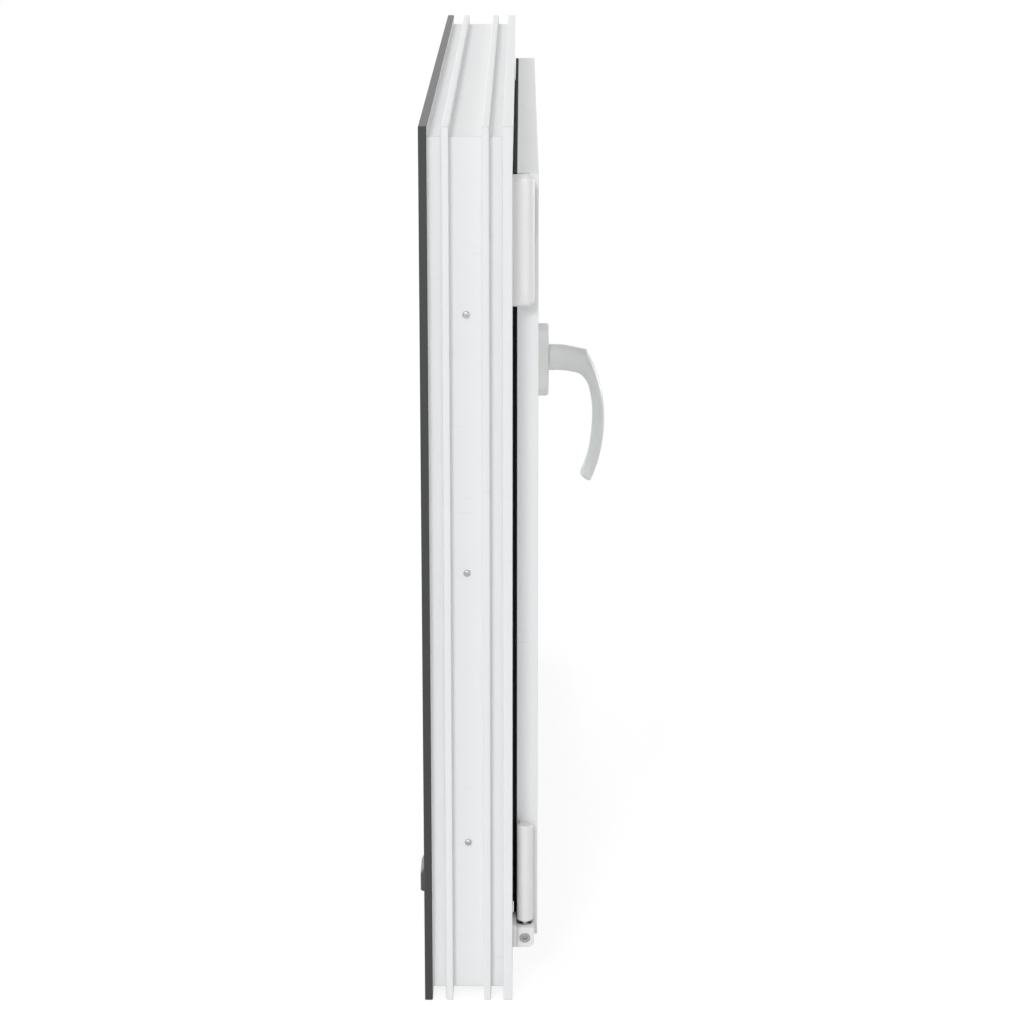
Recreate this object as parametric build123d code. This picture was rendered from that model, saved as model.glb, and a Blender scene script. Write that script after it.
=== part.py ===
from build123d import *
import math
import os

# A tilt-and-turn casement window, 900 x 700 mm: a white PVC outer frame and sash, both clad in dark
# aluminium outdoors, with double glazing, concealed locking gear, two hinges and a lever handle.
# X is the width with the hinges at -X, +Y is outdoors, Z is up, and the origin is the middle of the
# bottom edge, at half the frame's depth.

# Overall size of the frame
WIDTH = 900.0
HEIGHT = 700.0
DEPTH = 70.0

# Frame profile: widths run inwards from the frame's outer edge, depths start at its room face
PVC_WALL = 3.0
CLAD = 2.0
CLAD_RETURN = 6.3
FRAME_FACE = 65.0
FRAME_ROOM_FACE = 48.0
ANCHOR_GROOVE = 8.3
FLANGE = 7.3
ROOM_RIB = (17.0, 22.7)
MIDDLE_RIB = (47.4, 53.4)
STEEL_START = 21.0
STEEL_WALL = 1.5
STEEL_PLAY = 0.3
FRAME_STEEL_SETBACK = 60.0

# Sash profile
AIR_GAP = 12.0
LAP = 20.0
LAP_GAP = 3.5
LAP_THICKNESS = 16.5
SASH_FACE = 58.0
SASH_DEPTH = 52.0
GLASS_COVER = 18.0
UPSTAND = 12.0
SEAL_GAP = 5.0
SASH_CLAD_RETURN = 6.0
SASH_STEEL_SETBACK = 30.0

# Hardware groove round the sash
HARDWARE_AXIS = 13.0
PLATE_WIDTH = 16.0
PLATE_THICKNESS = 2.0
PLATE_PLAY = 0.2
GROOVE_WIDTH = 12.4
GROOVE_DEPTH = 12.0

# Glazing
GLASS_EDGE_GAP = 5.0
PANE = 4.0
CAVITY = 16.0
GLAZING_SEAL = 3.0
GLAZING_SEAL_HIDDEN = 8.0
GLAZING_SEAL_PROUD = 0.5
SPACER_WIDTH = 7.0
EDGE_SEAL_WIDTH = 5.0
BLOCK_LENGTH = 80.0
BLOCK_FROM_CORNER = 110.0
BEAD_FLAT = 5.8
BEAD_SLOPE = 10.5
BEAD_PLAY = 0.2
BEAD_SETBACK = 0.5

# Screws
SCREW_R = 2.0
SCREW_HEAD_R = 3.6
SCREW_HEAD_H = 1.8
SCREW_LENGTH = 18.0
SCREW_PLAY = 0.05
PAN_HEAD_R = 2.75
PAN_HEAD_H = 1.7
PAN_LENGTH = 8.0
JAMB_SCREW_LOW = 132.0
JAMB_SCREW_MIDDLE = 4.0
JAMB_SCREW_HIGH = 143.0
RAIL_SCREW_INSET = 200.0

# Drain caps on the outdoor face of the sill
DRAIN_FROM_END = 197.0
DRAIN_Z = 20.5
DRAIN_WIDTH = 40.0
DRAIN_HEIGHT = 20.5
DRAIN_PROUD = 9.5
DRAIN_WALL = 1.6
DRAIN_SHOULDER = 15.5
DRAIN_LEDGE = 6.8
DRAIN_SLOT = (30.0, 5.0)

# Hinge line, from the sash's edge and from the frame's room face
HINGE_FROM_SASH = 9.5
HINGE_FROM_FRAME = 10.0
HINGE_PIN_R = 3.0
RUNNING_PLAY = 0.05

# Pivot rest at the bottom of the hinge line
REST_Z = (38.0, 55.0)
REST_LEFT = 12.0
REST_RIGHT = 8.5
REST_FRONT = 7.4
REST_FLOOR = 3.0
REST_CORNER_R = 5.0
REST_PLATE = 3.0
REST_PLATE_LOW = 41.5
REST_PLATE_TOP = 60.0
REST_PLATE_LEFT = 20.0
CUP_R = 6.45
TRUNNION_R = 2.0
TRUNNION_RISE = 8.0
ADJUSTER_R = 4.2
ADJUSTER_LENGTH = 4.0
ADJUSTER_HEX = 4.0

# Corner band, the sash's lower hinge
BAND_Z = (57.5, 138.5)
BAND_R = 5.2
BAND_LEAF = 2.0
BAND_COVER_GAP = 0.15
BAND_COVER_WALL = 1.05
PEG_R = 3.5
PEG_LENGTH = 12.0

# Stay bearing and stay arm, the upper hinge
COVER_DROP = 40.3
COVER_HEIGHT = 100.2
COVER_WALL = 1.2
KNUCKLE_R = 5.4
KNUCKLE_GAP = 0.5
COVER_GAP = 0.3
STAY_DROP = 55.0
STAY_HEIGHT = 35.0
KNUCKLE_HEIGHT = 21.0
BEARING_PLATE = 3.0
STAY_PLATE = 2.4
STAY_CLEAR = 0.6
STAY_REACH = 240.0
STAY_BAR_WIDTH = 12.0
STAY_BAR_THICK = 3.0
STAY_BAR_LIFT = 3.2
STAY_BAR_END = 9.5
STAY_FROM_FRAME = 6.9
STAY_PIN_DIP = 5.5
STAY_SLOT_BACK = 9.0
STAY_SLOT_FRONT = 2.0
STAY_SLOT_PLAY = 0.8

# Locking gear: a pinion on the handle's spindle moves rods along the sash's edge
BACKSET = 15.5
HANDLE_Z = 350.0
GEAR_TEETH = 20
GEAR_MODULE = 1.0
GEAR_WIDTH = 6.0
GEAR_BACKLASH = 0.16
PRESSURE_ANGLE = 20.0
GEAR_HUB_R = 7.0
SPINDLE = 7.0
CASE_HEIGHT = 62.0
CASE_WIDTH = 13.0
CASE_LENGTH = 22.0
CASE_PLAY = 0.2
CASE_FROM_ROD = 0.75
GEAR_SIDE_ROOM = 0.5
GEAR_TIP_ROOM = 0.4
ROD_WIDTH = 11.0
ROD_THICK = 2.0
ROD_PLAY = 0.25
CORNER_LEG = 60.0
PLATE_JOINT = 0.2
PLATE_SETBACK = 20.0
RIGHT_ROD_LOW = 110.0
RIGHT_ROD_HIGH = 85.0
LEVEL_ROD_SETBACK = 100.0
TOP_ROD_LENGTH = 350.0
BOTTOM_ROD_LENGTH = 390.0
RIGHT_CAM_LOW = 160.0
RIGHT_CAM_HIGH = 140.0
TOP_CAM_SETBACK = 190.0
TILT_CAM_SETBACK = 140.0
CAM_R = 3.0
CAM_HEAD_R = 5.0
CAM_HEAD = 2.5
CAM_CLEAR = 3.2
CAM_SLOT_PLAY = 0.4
KEEP_BASE = 2.0
KEEP_HOOK = 24.0
KEEP_GAP = 1.5
KEEP_PLAY = 0.8
KEEP_WALL = 2.0
KEEP_SETBACK = 0.5
KEEP_MARGIN = 6.5

# Handle
ROSETTE_LENGTH = 77.0
ROSETTE_WIDTH = 32.0
ROSETTE_DEEP = 15.3
ROSETTE_WALL = 1.8
ROSETTE_EDGE = 2.5
ROSETTE_BASE = 4.0
ROSETTE_PLAY = 0.2
COLLAR_R = 11.0
JOURNAL_R = 6.95
HANDLE_GAP = 0.3
HANDLE_SCREW_SPAN = 43.0
HANDLE_SCREW_R = 2.4
HANDLE_SCREW_HEAD = (4.4, 3.0)
GRIP_WIDTH = 21.0

# Stations of the lever, from its seat on the rosette to its tip: the outer and the inner edge of each
# section as (distance off the sash, height above the spindle)
GRIP_STATIONS = (
    ((15.6, 16.3), (15.6, -11.0)),
    ((29.0, 15.9), (27.0, -11.0)),
    ((42.3, 13.5), (38.5, -12.4)),
    ((54.8, 10.8), (48.5, -15.6)),
    ((63.6, -7.5), (55.6, -24.5)),
    ((69.6, -25.5), (59.6, -39.5)),
    ((73.3, -45.5), (61.0, -54.5)),
    ((74.2, -66.0), (60.4, -70.5)),
    ((72.3, -88.0), (58.6, -88.5)),
    ((67.6, -109.5), (54.4, -106.5)),
    ((60.0, -130.3), (48.3, -122.5)),
)

# Faces that the sizes above put in place
ROOM = -DEPTH / 2
OUTDOOR = DEPTH / 2
CLAD_BACK = OUTDOOR - CLAD
LAP_BACK = ROOM - LAP_GAP
SASH_ROOM = LAP_BACK - LAP_THICKNESS
GLASS_STOP = SASH_ROOM + SASH_DEPTH
SASH_OUT = GLASS_STOP + UPSTAND
SASH_CLAD_OUT = SASH_OUT + CLAD
REBATE_STOP = SASH_CLAD_OUT + SEAL_GAP
SASH_BODY = FRAME_ROOM_FACE + AIR_GAP
SASH_EDGE = SASH_BODY - LAP
BEAD_SEAT = SASH_EDGE + SASH_FACE
UPSTAND_TIP = BEAD_SEAT + GLASS_COVER
SIGHT_LINE = UPSTAND_TIP + CLAD
GROOVE_Y = LAP_BACK + HARDWARE_AXIS
SEAT_DEPTH = PLATE_THICKNESS + PLATE_PLAY
GROOVE_FLOOR = SASH_BODY + GROOVE_DEPTH
STEEL_TO = REBATE_STOP - PVC_WALL
PANE_OUT = GLASS_STOP - GLAZING_SEAL
CAVITY_OUT = PANE_OUT - PANE
CAVITY_ROOM = CAVITY_OUT - CAVITY
PANE_ROOM = CAVITY_ROOM - PANE
BEAD_BACK = PANE_ROOM - GLAZING_SEAL
GLASS_EDGE = BEAD_SEAT + GLASS_EDGE_GAP
HINGE_X = -WIDTH / 2 + SASH_EDGE - HINGE_FROM_SASH
HINGE_Y = ROOM - HINGE_FROM_FRAME
TILT_Z = REST_Z[0] + TRUNNION_RISE
HANDLE_X = WIDTH / 2 - SASH_BODY - BACKSET
PITCH_R = GEAR_MODULE * GEAR_TEETH / 2
ROD_TRAVEL = math.pi * PITCH_R
ROD_FACE = SASH_BODY + PLATE_THICKNESS + ROD_PLAY
ROD_BACK = ROD_FACE + ROD_THICK
SASH_RIGHT = WIDTH / 2 - SASH_BODY
SASH_TOP = HEIGHT - SASH_BODY
CAM_TIP = FRAME_ROOM_FACE + CAM_CLEAR
COVER_Z = (HEIGHT - COVER_DROP - COVER_HEIGHT, HEIGHT - COVER_DROP)
STAY_Z = (HEIGHT - STAY_DROP - STAY_HEIGHT, HEIGHT - STAY_DROP)
DRAIN_X = WIDTH / 2 - DRAIN_FROM_END
JAMB_SCREWS = (JAMB_SCREW_LOW, HEIGHT / 2 + JAMB_SCREW_MIDDLE, HEIGHT - JAMB_SCREW_HIGH)
RAIL_SCREWS = (RAIL_SCREW_INSET - WIDTH / 2, 0.0, WIDTH / 2 - RAIL_SCREW_INSET)
PLATE_LEFT = PLATE_SETBACK - SASH_RIGHT
RIGHT_ROD = (SASH_BODY + RIGHT_ROD_LOW, SASH_TOP - RIGHT_ROD_HIGH)
LEVEL_ROD_END = SASH_RIGHT - LEVEL_ROD_SETBACK
TOP_ROD = (LEVEL_ROD_END - TOP_ROD_LENGTH, LEVEL_ROD_END)
BOTTOM_ROD = (LEVEL_ROD_END - BOTTOM_ROD_LENGTH, LEVEL_ROD_END)
RIGHT_CAMS = (SASH_BODY + RIGHT_CAM_LOW, SASH_TOP - RIGHT_CAM_HIGH)
TOP_CAM = SASH_RIGHT - TOP_CAM_SETBACK
TILT_CAM = SASH_RIGHT - TILT_CAM_SETBACK
STAY_PIN_X = HINGE_X + STAY_REACH

# Each side of the window: its length, how far it stands from the middle, and its turn about Y
SIDES = {
    "left": (HEIGHT, WIDTH / 2, 0),
    "right": (HEIGHT, WIDTH / 2, 180),
    "sill": (WIDTH, HEIGHT / 2, -90),
    "head": (WIDTH, HEIGHT / 2, 90),
}


def spot(side, across, y, along):
    """The point at a width from the frame's outer edge; along is a height on jambs, else an x."""
    return {
        "left": (-WIDTH / 2 + across, y, along),
        "right": (WIDTH / 2 - across, y, along),
        "sill": (along, y, across),
        "head": (along, y, HEIGHT - across),
    }[side]


def inward(side):
    """The unit direction from a side's outer edge towards the middle of the window."""
    return {"left": (1, 0, 0), "right": (-1, 0, 0), "sill": (0, 0, 1), "head": (0, 0, -1)}[side]


def block(corner, opposite):
    """A box between two opposite corners."""
    low = [min(a, b) for a, b in zip(corner, opposite)]
    high = [max(a, b) for a, b in zip(corner, opposite)]
    middle = [(a + b) / 2 for a, b in zip(low, high)]
    return Pos(*middle) * Box(*[b - a for a, b in zip(low, high)])


def side_block(side, across, deep, along):
    """A box on one side of the window, each argument a pair of ends."""
    return block(spot(side, across[0], deep[0], along[0]), spot(side, across[1], deep[1], along[1]))


def rod(start, end, radius):
    """A round bar between two points."""
    axis = Vector(*end) - Vector(*start)
    return extrude(Plane(origin=start, z_dir=axis) * Circle(radius), amount=axis.length)


def side_rod(side, across, y, along, radius):
    """A round bar that points into one side of the window."""
    return rod(spot(side, across[0], y, along), spot(side, across[1], y, along), radius)


def bar(side, outline, chambers=()):
    """A profile with mitred ends along one side; the outline holds (width, y) points."""
    length, reach, turn = SIDES[side]
    profile = make_face(Polyline(*outline, close=True))
    for across, deep in chambers:
        middle = Pos((across[0] + across[1]) / 2, (deep[0] + deep[1]) / 2)
        profile -= middle * Rectangle(across[1] - across[0], deep[1] - deep[0])
    long_bar = extrude(profile, amount=length / 2, both=True)
    inner = SIGHT_LINE + BEAD_SLOPE
    half = length / 2
    upper = [(-inner, half + inner), (inner, half - inner)]
    lower = [(inner, inner - half), (-inner, -half - inner)]
    trapezoid = Polyline(*upper, *lower, close=True)
    mitre = extrude(Plane.XZ * make_face(trapezoid), amount=2 * DEPTH, both=True)
    return Pos(0, 0, HEIGHT / 2) * Rot(0, turn, 0) * Pos(-reach, 0, 0) * (long_bar & mitre)


def ring(across, deep):
    """A rectangular ring parallel to the frame, between two widths and two depths."""
    rings = []
    for width in across:
        half = WIDTH / 2 - width
        rings.append(block((-half, deep[0], width), (half, deep[1], HEIGHT - width)))
    return rings[0] - rings[1]


def pan_screw(seat, into, play=0.0):
    """A pan-head screw whose head sits on a surface; play makes the matching hole."""
    seat = Vector(*seat)
    into = Vector(*into)
    head = rod(seat - into * PAN_HEAD_H, seat, PAN_HEAD_R + play)
    return head + rod(seat, seat + into * PAN_LENGTH, SCREW_R + play)


def flat_screw(seat, into, play=0.0):
    """A countersunk screw, flush with the surface it holds; play makes the matching hole."""
    seat = Vector(*seat)
    into = Vector(*into)
    upright = (Align.CENTER, Align.CENTER, Align.MIN)
    cone = Cone(SCREW_HEAD_R + play, SCREW_R + play, SCREW_HEAD_H, align=upright)
    head = Plane(origin=seat, z_dir=into).location * cone
    return head + rod(seat + into * SCREW_HEAD_H, seat + into * SCREW_LENGTH, SCREW_R + play)


def without(solid, cutters):
    """The solid with every cutter taken out of it."""
    for cutter in cutters:
        solid -= cutter
    return solid


def save(name, *shapes):
    """Write one node, with each of its pieces a separate solid."""
    solids = [solid for shape in shapes for solid in shape.solids()]
    export_step(solids[0] if len(solids) == 1 else Compound(solids), f"parts/{name}.step")


os.makedirs("parts", exist_ok=True)

# Places of the screws, as (seat, direction)
JAMBS = ("left", "right")
reinforcing = {side: [] for side in SIDES}
for side, places in (("left", JAMB_SCREWS), ("right", JAMB_SCREWS), ("sill", RAIL_SCREWS)):
    reinforcing[side] = [(spot(side, ANCHOR_GROOVE, 0, along), inward(side)) for along in places]

REST_SCREW_X = HINGE_X - (REST_PLATE_LEFT + REST_LEFT) / 2
REST_SCREW_INSET = 5.0
rest_screws = []
for height in (REST_PLATE_LOW + REST_SCREW_INSET, REST_PLATE_TOP - REST_SCREW_INSET):
    rest_screws.append(((REST_SCREW_X, ROOM - REST_PLATE, height), (0, 1, 0)))

BEARING_SCREW_PITCH = 12.0
BEARING_SCREW_INSET = 8.0
bearing_screws = []
for step in (0, 1):
    height = COVER_Z[0] + BEARING_SCREW_INSET + step * BEARING_SCREW_PITCH
    bearing_screws.append(((HINGE_X, ROOM - BEARING_PLATE, height), (0, 1, 0)))

# Each keep: side, where its cam stops against the hook, and the way from the cam to the hook
cam_stops = [("right", along, 1) for along in RIGHT_CAMS]
cam_stops += [("head", TOP_CAM, -1), ("sill", TILT_CAM - ROD_TRAVEL, -1)]
KEEP_SCREW_INSET = 6.0


def keep_span(stop, way):
    """The two ends of a keep along its side: past its hook, and past the cam's way out."""
    hook_end = stop + way * (CAM_HEAD_R + KEEP_GAP + KEEP_HOOK)
    free_end = stop - way * (ROD_TRAVEL + 2 * KEEP_SCREW_INSET)
    return hook_end, free_end


KEEP_SCREW_Y = GROOVE_Y
keep_screws = {side: [] for side in SIDES}
for side, stop, way in cam_stops:
    hook_end, free_end = keep_span(stop, way)
    for along in (hook_end - way * KEEP_SCREW_INSET, free_end + way * KEEP_SCREW_INSET):
        seat = spot(side, FRAME_ROOM_FACE + KEEP_BASE, KEEP_SCREW_Y, along)
        outward = [-part for part in inward(side)]
        keep_screws[side].append((seat, outward))

# Outer frame: four mitred hollow profiles with three anchor grooves round the outside
frame_outline = [
    (CLAD, CLAD_BACK), (FRAME_FACE, CLAD_BACK), (FRAME_FACE, REBATE_STOP), (FRAME_ROOM_FACE, REBATE_STOP),
    (FRAME_ROOM_FACE, ROOM), (0, ROOM), (0, ROOM + FLANGE), (ANCHOR_GROOVE, ROOM + FLANGE),
]
for near, far in (ROOM_RIB, MIDDLE_RIB):
    frame_outline += [(ANCHOR_GROOVE, ROOM + near), (0, ROOM + near)]
    frame_outline += [(0, ROOM + far), (ANCHOR_GROOVE, ROOM + far)]
frame_outline += [(ANCHOR_GROOVE, OUTDOOR - CLAD_RETURN), (CLAD, OUTDOOR - CLAD_RETURN)]

chamber_start = ANCHOR_GROOVE + PVC_WALL
chamber_end = FRAME_ROOM_FACE - PVC_WALL
steel_from = ROOM + STEEL_START
frame_chambers = [
    ((chamber_start, FRAME_FACE - PVC_WALL), (REBATE_STOP + PVC_WALL, CLAD_BACK - PVC_WALL)),
    ((chamber_start, chamber_end), (steel_from, STEEL_TO)),
    ((chamber_start, chamber_end), (ROOM + PVC_WALL, steel_from - PVC_WALL)),
]


def steel_tube(side, across, deep, setback):
    """A steel box section in a chamber, cut square short of the corners."""
    span = HEIGHT if side in JAMBS else WIDTH
    along = (setback, span - setback)
    if side not in JAMBS:
        along = (setback - span / 2, span / 2 - setback)
    outside = [(low + STEEL_PLAY, high - STEEL_PLAY) for low, high in (across, deep)]
    inside = [(low + STEEL_WALL, high - STEEL_WALL) for low, high in outside]
    return side_block(side, *outside, along) - side_block(side, *inside, along)


drain_slots = []
for x in (-DRAIN_X, DRAIN_X):
    slot_z = DRAIN_Z + DRAIN_HEIGHT / 2
    low = (x - DRAIN_SLOT[0] / 2, CLAD_BACK - 2 * PVC_WALL, slot_z - DRAIN_SLOT[1] / 2)
    drain_slots.append(block(low, (x + DRAIN_SLOT[0] / 2, OUTDOOR, slot_z + DRAIN_SLOT[1] / 2)))

frame_holes = {}
for side in SIDES:
    frame_holes[side] = [pan_screw(*place, SCREW_PLAY) for place in reinforcing[side]]
    frame_holes[side] += [flat_screw(*place, SCREW_PLAY) for place in keep_screws[side]]
frame_holes["left"] += [flat_screw(*place, SCREW_PLAY) for place in rest_screws + bearing_screws]

frame_names = {
    "left": "frame_jamb_left", "right": "frame_jamb_right", "sill": "frame_sill", "head": "frame_head"
}
frame_steels = []
for side, name in frame_names.items():
    holes = frame_holes[side]
    if side == "sill":
        holes = holes + drain_slots
    save(name, without(bar(side, frame_outline, frame_chambers), holes))
    tube = steel_tube(side, *frame_chambers[1], FRAME_STEEL_SETBACK)
    frame_steels.append(without(tube, frame_holes[side]))
save("frame_reinforcements", *frame_steels)
save("reinforcement_screws", *[pan_screw(*place) for places in reinforcing.values() for place in places])

# Outdoor cladding of the frame: a folded sheet on each side, hooked round both edges of the PVC
frame_clad_outline = [
    (0, OUTDOOR), (FRAME_FACE + CLAD, OUTDOOR), (FRAME_FACE + CLAD, REBATE_STOP), (FRAME_FACE, REBATE_STOP),
    (FRAME_FACE, CLAD_BACK), (CLAD, CLAD_BACK), (CLAD, OUTDOOR - CLAD_RETURN), (0, OUTDOOR - CLAD_RETURN),
]
for side in SIDES:
    cover = bar(side, frame_clad_outline)
    save(f"frame_cladding_{side}", without(cover, drain_slots) if side == "sill" else cover)

# Drain caps: hoods with a sloping top, open below, over the slots that drain the sill
drain_caps = []
for x in (-DRAIN_X, DRAIN_X):
    shoulder = DRAIN_Z + DRAIN_SHOULDER
    hood_top = DRAIN_Z + DRAIN_HEIGHT
    front = OUTDOOR + DRAIN_PROUD
    hood = Polyline(
        (OUTDOOR, DRAIN_Z), (front, DRAIN_Z), (front, shoulder), (OUTDOOR + DRAIN_LEDGE, hood_top),
        (OUTDOOR, hood_top), close=True
    )
    hood_plane = Plane(origin=(x, 0, 0), x_dir=(0, 1, 0), z_dir=(1, 0, 0))
    hood_solid = extrude(hood_plane * make_face(hood), amount=DRAIN_WIDTH / 2, both=True)
    hollow_low = (x - DRAIN_WIDTH / 2 + DRAIN_WALL, OUTDOOR, DRAIN_Z)
    hollow_right = x + DRAIN_WIDTH / 2 - DRAIN_WALL
    hollow = block(hollow_low, (hollow_right, front - DRAIN_WALL, shoulder))
    hollow += block(hollow_low, (hollow_right, OUTDOOR + DRAIN_LEDGE - DRAIN_WALL, hood_top - DRAIN_WALL))
    drain_caps.append(hood_solid - hollow)
save("drain_caps", *drain_caps)

# Frame gasket: a foot in the rebate's stop with a lip that meets the sash's outdoor face
FOOT_THICK = 2.5
FOOT_REACH = (-5.0, 2.0)
LIP_REACH = (-2.0, 4.0)
LIP_CLEAR = 0.4
foot_across = [SASH_BODY + reach for reach in FOOT_REACH]
lip_across = [SASH_BODY + reach for reach in LIP_REACH]
foot_y = REBATE_STOP - FOOT_THICK
foot = ring(foot_across, (foot_y, REBATE_STOP))
save("frame_gasket", foot + ring(lip_across, (SASH_CLAD_OUT + LIP_CLEAR, foot_y)))

# Keeps: steel plates on the frame's rebate with a hook on the room side that a cam runs behind
KEEP_ROOM = ROOM + KEEP_SETBACK
KEEP_OUT = GROOVE_Y + CAM_HEAD_R + KEEP_MARGIN
keeps = {}
for number, (side, stop, way) in enumerate(cam_stops):
    hook_end, free_end = keep_span(stop, way)
    base_across = (FRAME_ROOM_FACE, FRAME_ROOM_FACE + KEEP_BASE)
    plate = side_block(side, base_across, (KEEP_ROOM, KEEP_OUT), (hook_end, free_end))
    hook_start = stop + way * (CAM_HEAD_R + KEEP_GAP)
    hook_tip = CAM_TIP + CAM_HEAD + KEEP_PLAY + KEEP_WALL
    upright = (KEEP_ROOM, KEEP_ROOM + KEEP_WALL)
    overhang = (KEEP_ROOM + KEEP_WALL, GROOVE_Y - CAM_R - KEEP_PLAY)
    screw_room = hook_end - way * 2 * KEEP_SCREW_INSET
    hook = side_block(side, (base_across[1], hook_tip), upright, (hook_start, hook_end))
    hook += side_block(side, (hook_tip - KEEP_WALL, hook_tip), overhang, (hook_start, screw_room))
    places = keep_screws[side]
    keeps[number] = without(plate + hook, [flat_screw(*place, SCREW_PLAY) for place in places])
save("lock_keeps", *[keeps[number] for number in range(len(cam_stops) - 1)])
save("tilt_keep", keeps[len(cam_stops) - 1])
frame_screws = [flat_screw(*place) for places in keep_screws.values() for place in places]
save("frame_hardware_screws", *frame_screws, *[flat_screw(*place) for place in rest_screws + bearing_screws])

# Pivot rest: a die-cast block on the jamb that carries the sash's weight in a turning cup
REST_TOP = REST_Z[1]
plan = Rectangle(REST_LEFT + REST_RIGHT, HINGE_FROM_FRAME, align=(Align.MIN, Align.MIN))
plan = Pos(-REST_LEFT, 0) * plan
plan += Pos(-REST_LEFT, -REST_FRONT) * Rectangle(REST_LEFT, REST_FRONT, align=(Align.MIN, Align.MIN))
front = Pos(-REST_LEFT, -REST_FRONT) * Rectangle(2 * REST_LEFT, 2 * REST_FRONT, align=(Align.MIN, Align.MIN))
plan += Circle(REST_RIGHT) & front
rest = Pos(HINGE_X, HINGE_Y, REST_Z[0]) * extrude(plan, amount=REST_TOP - REST_Z[0])
lower_edge = rest.edges().filter_by(Axis.X).group_by(Axis.Z)[0].sort_by(Axis.Y)[0]
rest = fillet(lower_edge, REST_CORNER_R)
plate_start = (HINGE_X - REST_PLATE_LEFT, ROOM - REST_PLATE, REST_PLATE_LOW)
rest += block(plate_start, (HINGE_X + REST_RIGHT, ROOM, REST_PLATE_TOP))
pocket_r = CUP_R + RUNNING_PLAY
pocket_floor = REST_Z[0] + REST_FLOOR
rest -= rod((HINGE_X, HINGE_Y, pocket_floor), (HINGE_X, HINGE_Y, REST_TOP), pocket_r)
rest_face = HINGE_X - REST_LEFT
adjuster_ends = ((rest_face, HINGE_Y, TILT_Z), (rest_face + ADJUSTER_LENGTH, HINGE_Y, TILT_Z))
rest -= rod(*adjuster_ends, ADJUSTER_R + SCREW_PLAY)
save("pivot_rest", without(rest, [flat_screw(*place, SCREW_PLAY) for place in rest_screws]))

adjuster = rod(*adjuster_ends, ADJUSTER_R)
socket_plane = Plane(origin=(rest_face, HINGE_Y, TILT_Z), z_dir=(1, 0, 0))
socket = extrude(socket_plane * RegularPolygon(ADJUSTER_HEX / 2, 6), amount=ADJUSTER_LENGTH / 2)
save("pivot_adjusting_screw", adjuster - socket)

# Pivot cup: turns in the rest with the sash, slotted so that the hinge pin can lean when the sash tilts
CUP_SLOT_PLAY = 0.2
CUP_SLOT_LENGTH = 9.6
CUP_SLOT = (2 * HINGE_PIN_R + CUP_SLOT_PLAY, CUP_SLOT_LENGTH)
PIN_TOE = 1.8
cup = rod((HINGE_X, HINGE_Y, pocket_floor), (HINGE_X, HINGE_Y, REST_TOP), CUP_R)
slot_low = (HINGE_X - CUP_SLOT[0] / 2, HINGE_Y - CUP_SLOT[1] / 2, pocket_floor + PIN_TOE / 2)
cup -= block(slot_low, (HINGE_X + CUP_SLOT[0] / 2, HINGE_Y + CUP_SLOT[1] / 2, REST_TOP))
cup -= rod((HINGE_X - CUP_R, HINGE_Y, TILT_Z), (HINGE_X + CUP_R, HINGE_Y, TILT_Z), TRUNNION_R + RUNNING_PLAY)
save("pivot_cup", cup)

# Hinge pin: stands in the cup on its cross trunnion and carries the corner band
TRUNNION_SETBACK = 0.6
trunnion_half = CUP_R - TRUNNION_SETBACK
pin = rod((HINGE_X, HINGE_Y, pocket_floor + PIN_TOE), (HINGE_X, HINGE_Y, BAND_Z[1] - BAND_LEAF), HINGE_PIN_R)
pin += rod((HINGE_X - trunnion_half, HINGE_Y, TILT_Z), (HINGE_X + trunnion_half, HINGE_Y, TILT_Z), TRUNNION_R)
save("hinge_pin", pin)

# Corner band: a barrel over the pin, with a leaf pegged into the edge of the sash
LEAF_X = HINGE_X + HINGE_FROM_SASH
LEAF_FRONT = 7.0
LEAF_REAR = 4.0
LEAF_WEB = 2.5
LEAF_Y = (HINGE_Y - LEAF_FRONT, HINGE_Y + LEAF_REAR)
PEG_Y = (SASH_ROOM + LAP_BACK) / 2
PEG_INSET = 18.0
peg_heights = (BAND_Z[0] + PEG_INSET, BAND_Z[1] - PEG_INSET)
pegs = []
peg_bores = []
for height in peg_heights:
    pegs.append(rod((LEAF_X, PEG_Y, height), (LEAF_X + PEG_LENGTH, PEG_Y, height), PEG_R))
    peg_bores.append(rod((LEAF_X, PEG_Y, height), (LEAF_X + PEG_LENGTH, PEG_Y, height), PEG_R + SCREW_PLAY))
barrel = rod((HINGE_X, HINGE_Y, BAND_Z[0]), (HINGE_X, HINGE_Y, BAND_Z[1]), BAND_R)
band = barrel + block((LEAF_X - BAND_LEAF, LEAF_Y[0], BAND_Z[0]), (LEAF_X, LEAF_Y[1], BAND_Z[1]))
band += block((HINGE_X, LEAF_Y[1] - LEAF_WEB, BAND_Z[0]), (LEAF_X, LEAF_Y[1], BAND_Z[1]))
for peg in pegs:
    band += peg
band -= rod((HINGE_X, HINGE_Y, BAND_Z[0]), (HINGE_X, HINGE_Y, BAND_Z[1] - BAND_LEAF), HINGE_PIN_R)
save("corner_band", band)

band_cover_in = BAND_R + BAND_COVER_GAP
band_cover_out = band_cover_in + BAND_COVER_WALL
BAND_COVER_OPEN = 3.0
BAND_COVER_LAP = 0.5
cover_open_x = HINGE_X + BAND_COVER_OPEN
cover_low = BAND_Z[0] - BAND_COVER_LAP
cover_high = BAND_Z[1] + BAND_COVER_LAP
band_cover = rod((HINGE_X, HINGE_Y, cover_low), (HINGE_X, HINGE_Y, cover_high), band_cover_out)
band_cover -= rod((HINGE_X, HINGE_Y, cover_low), (HINGE_X, HINGE_Y, cover_high), band_cover_in)
opening_high = (HINGE_X + 2 * band_cover_out, HINGE_Y + 2 * band_cover_out, cover_high)
band_cover -= block((cover_open_x, HINGE_Y - 2 * band_cover_out, cover_low), opening_high)
save("corner_band_cover", band_cover)

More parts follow.
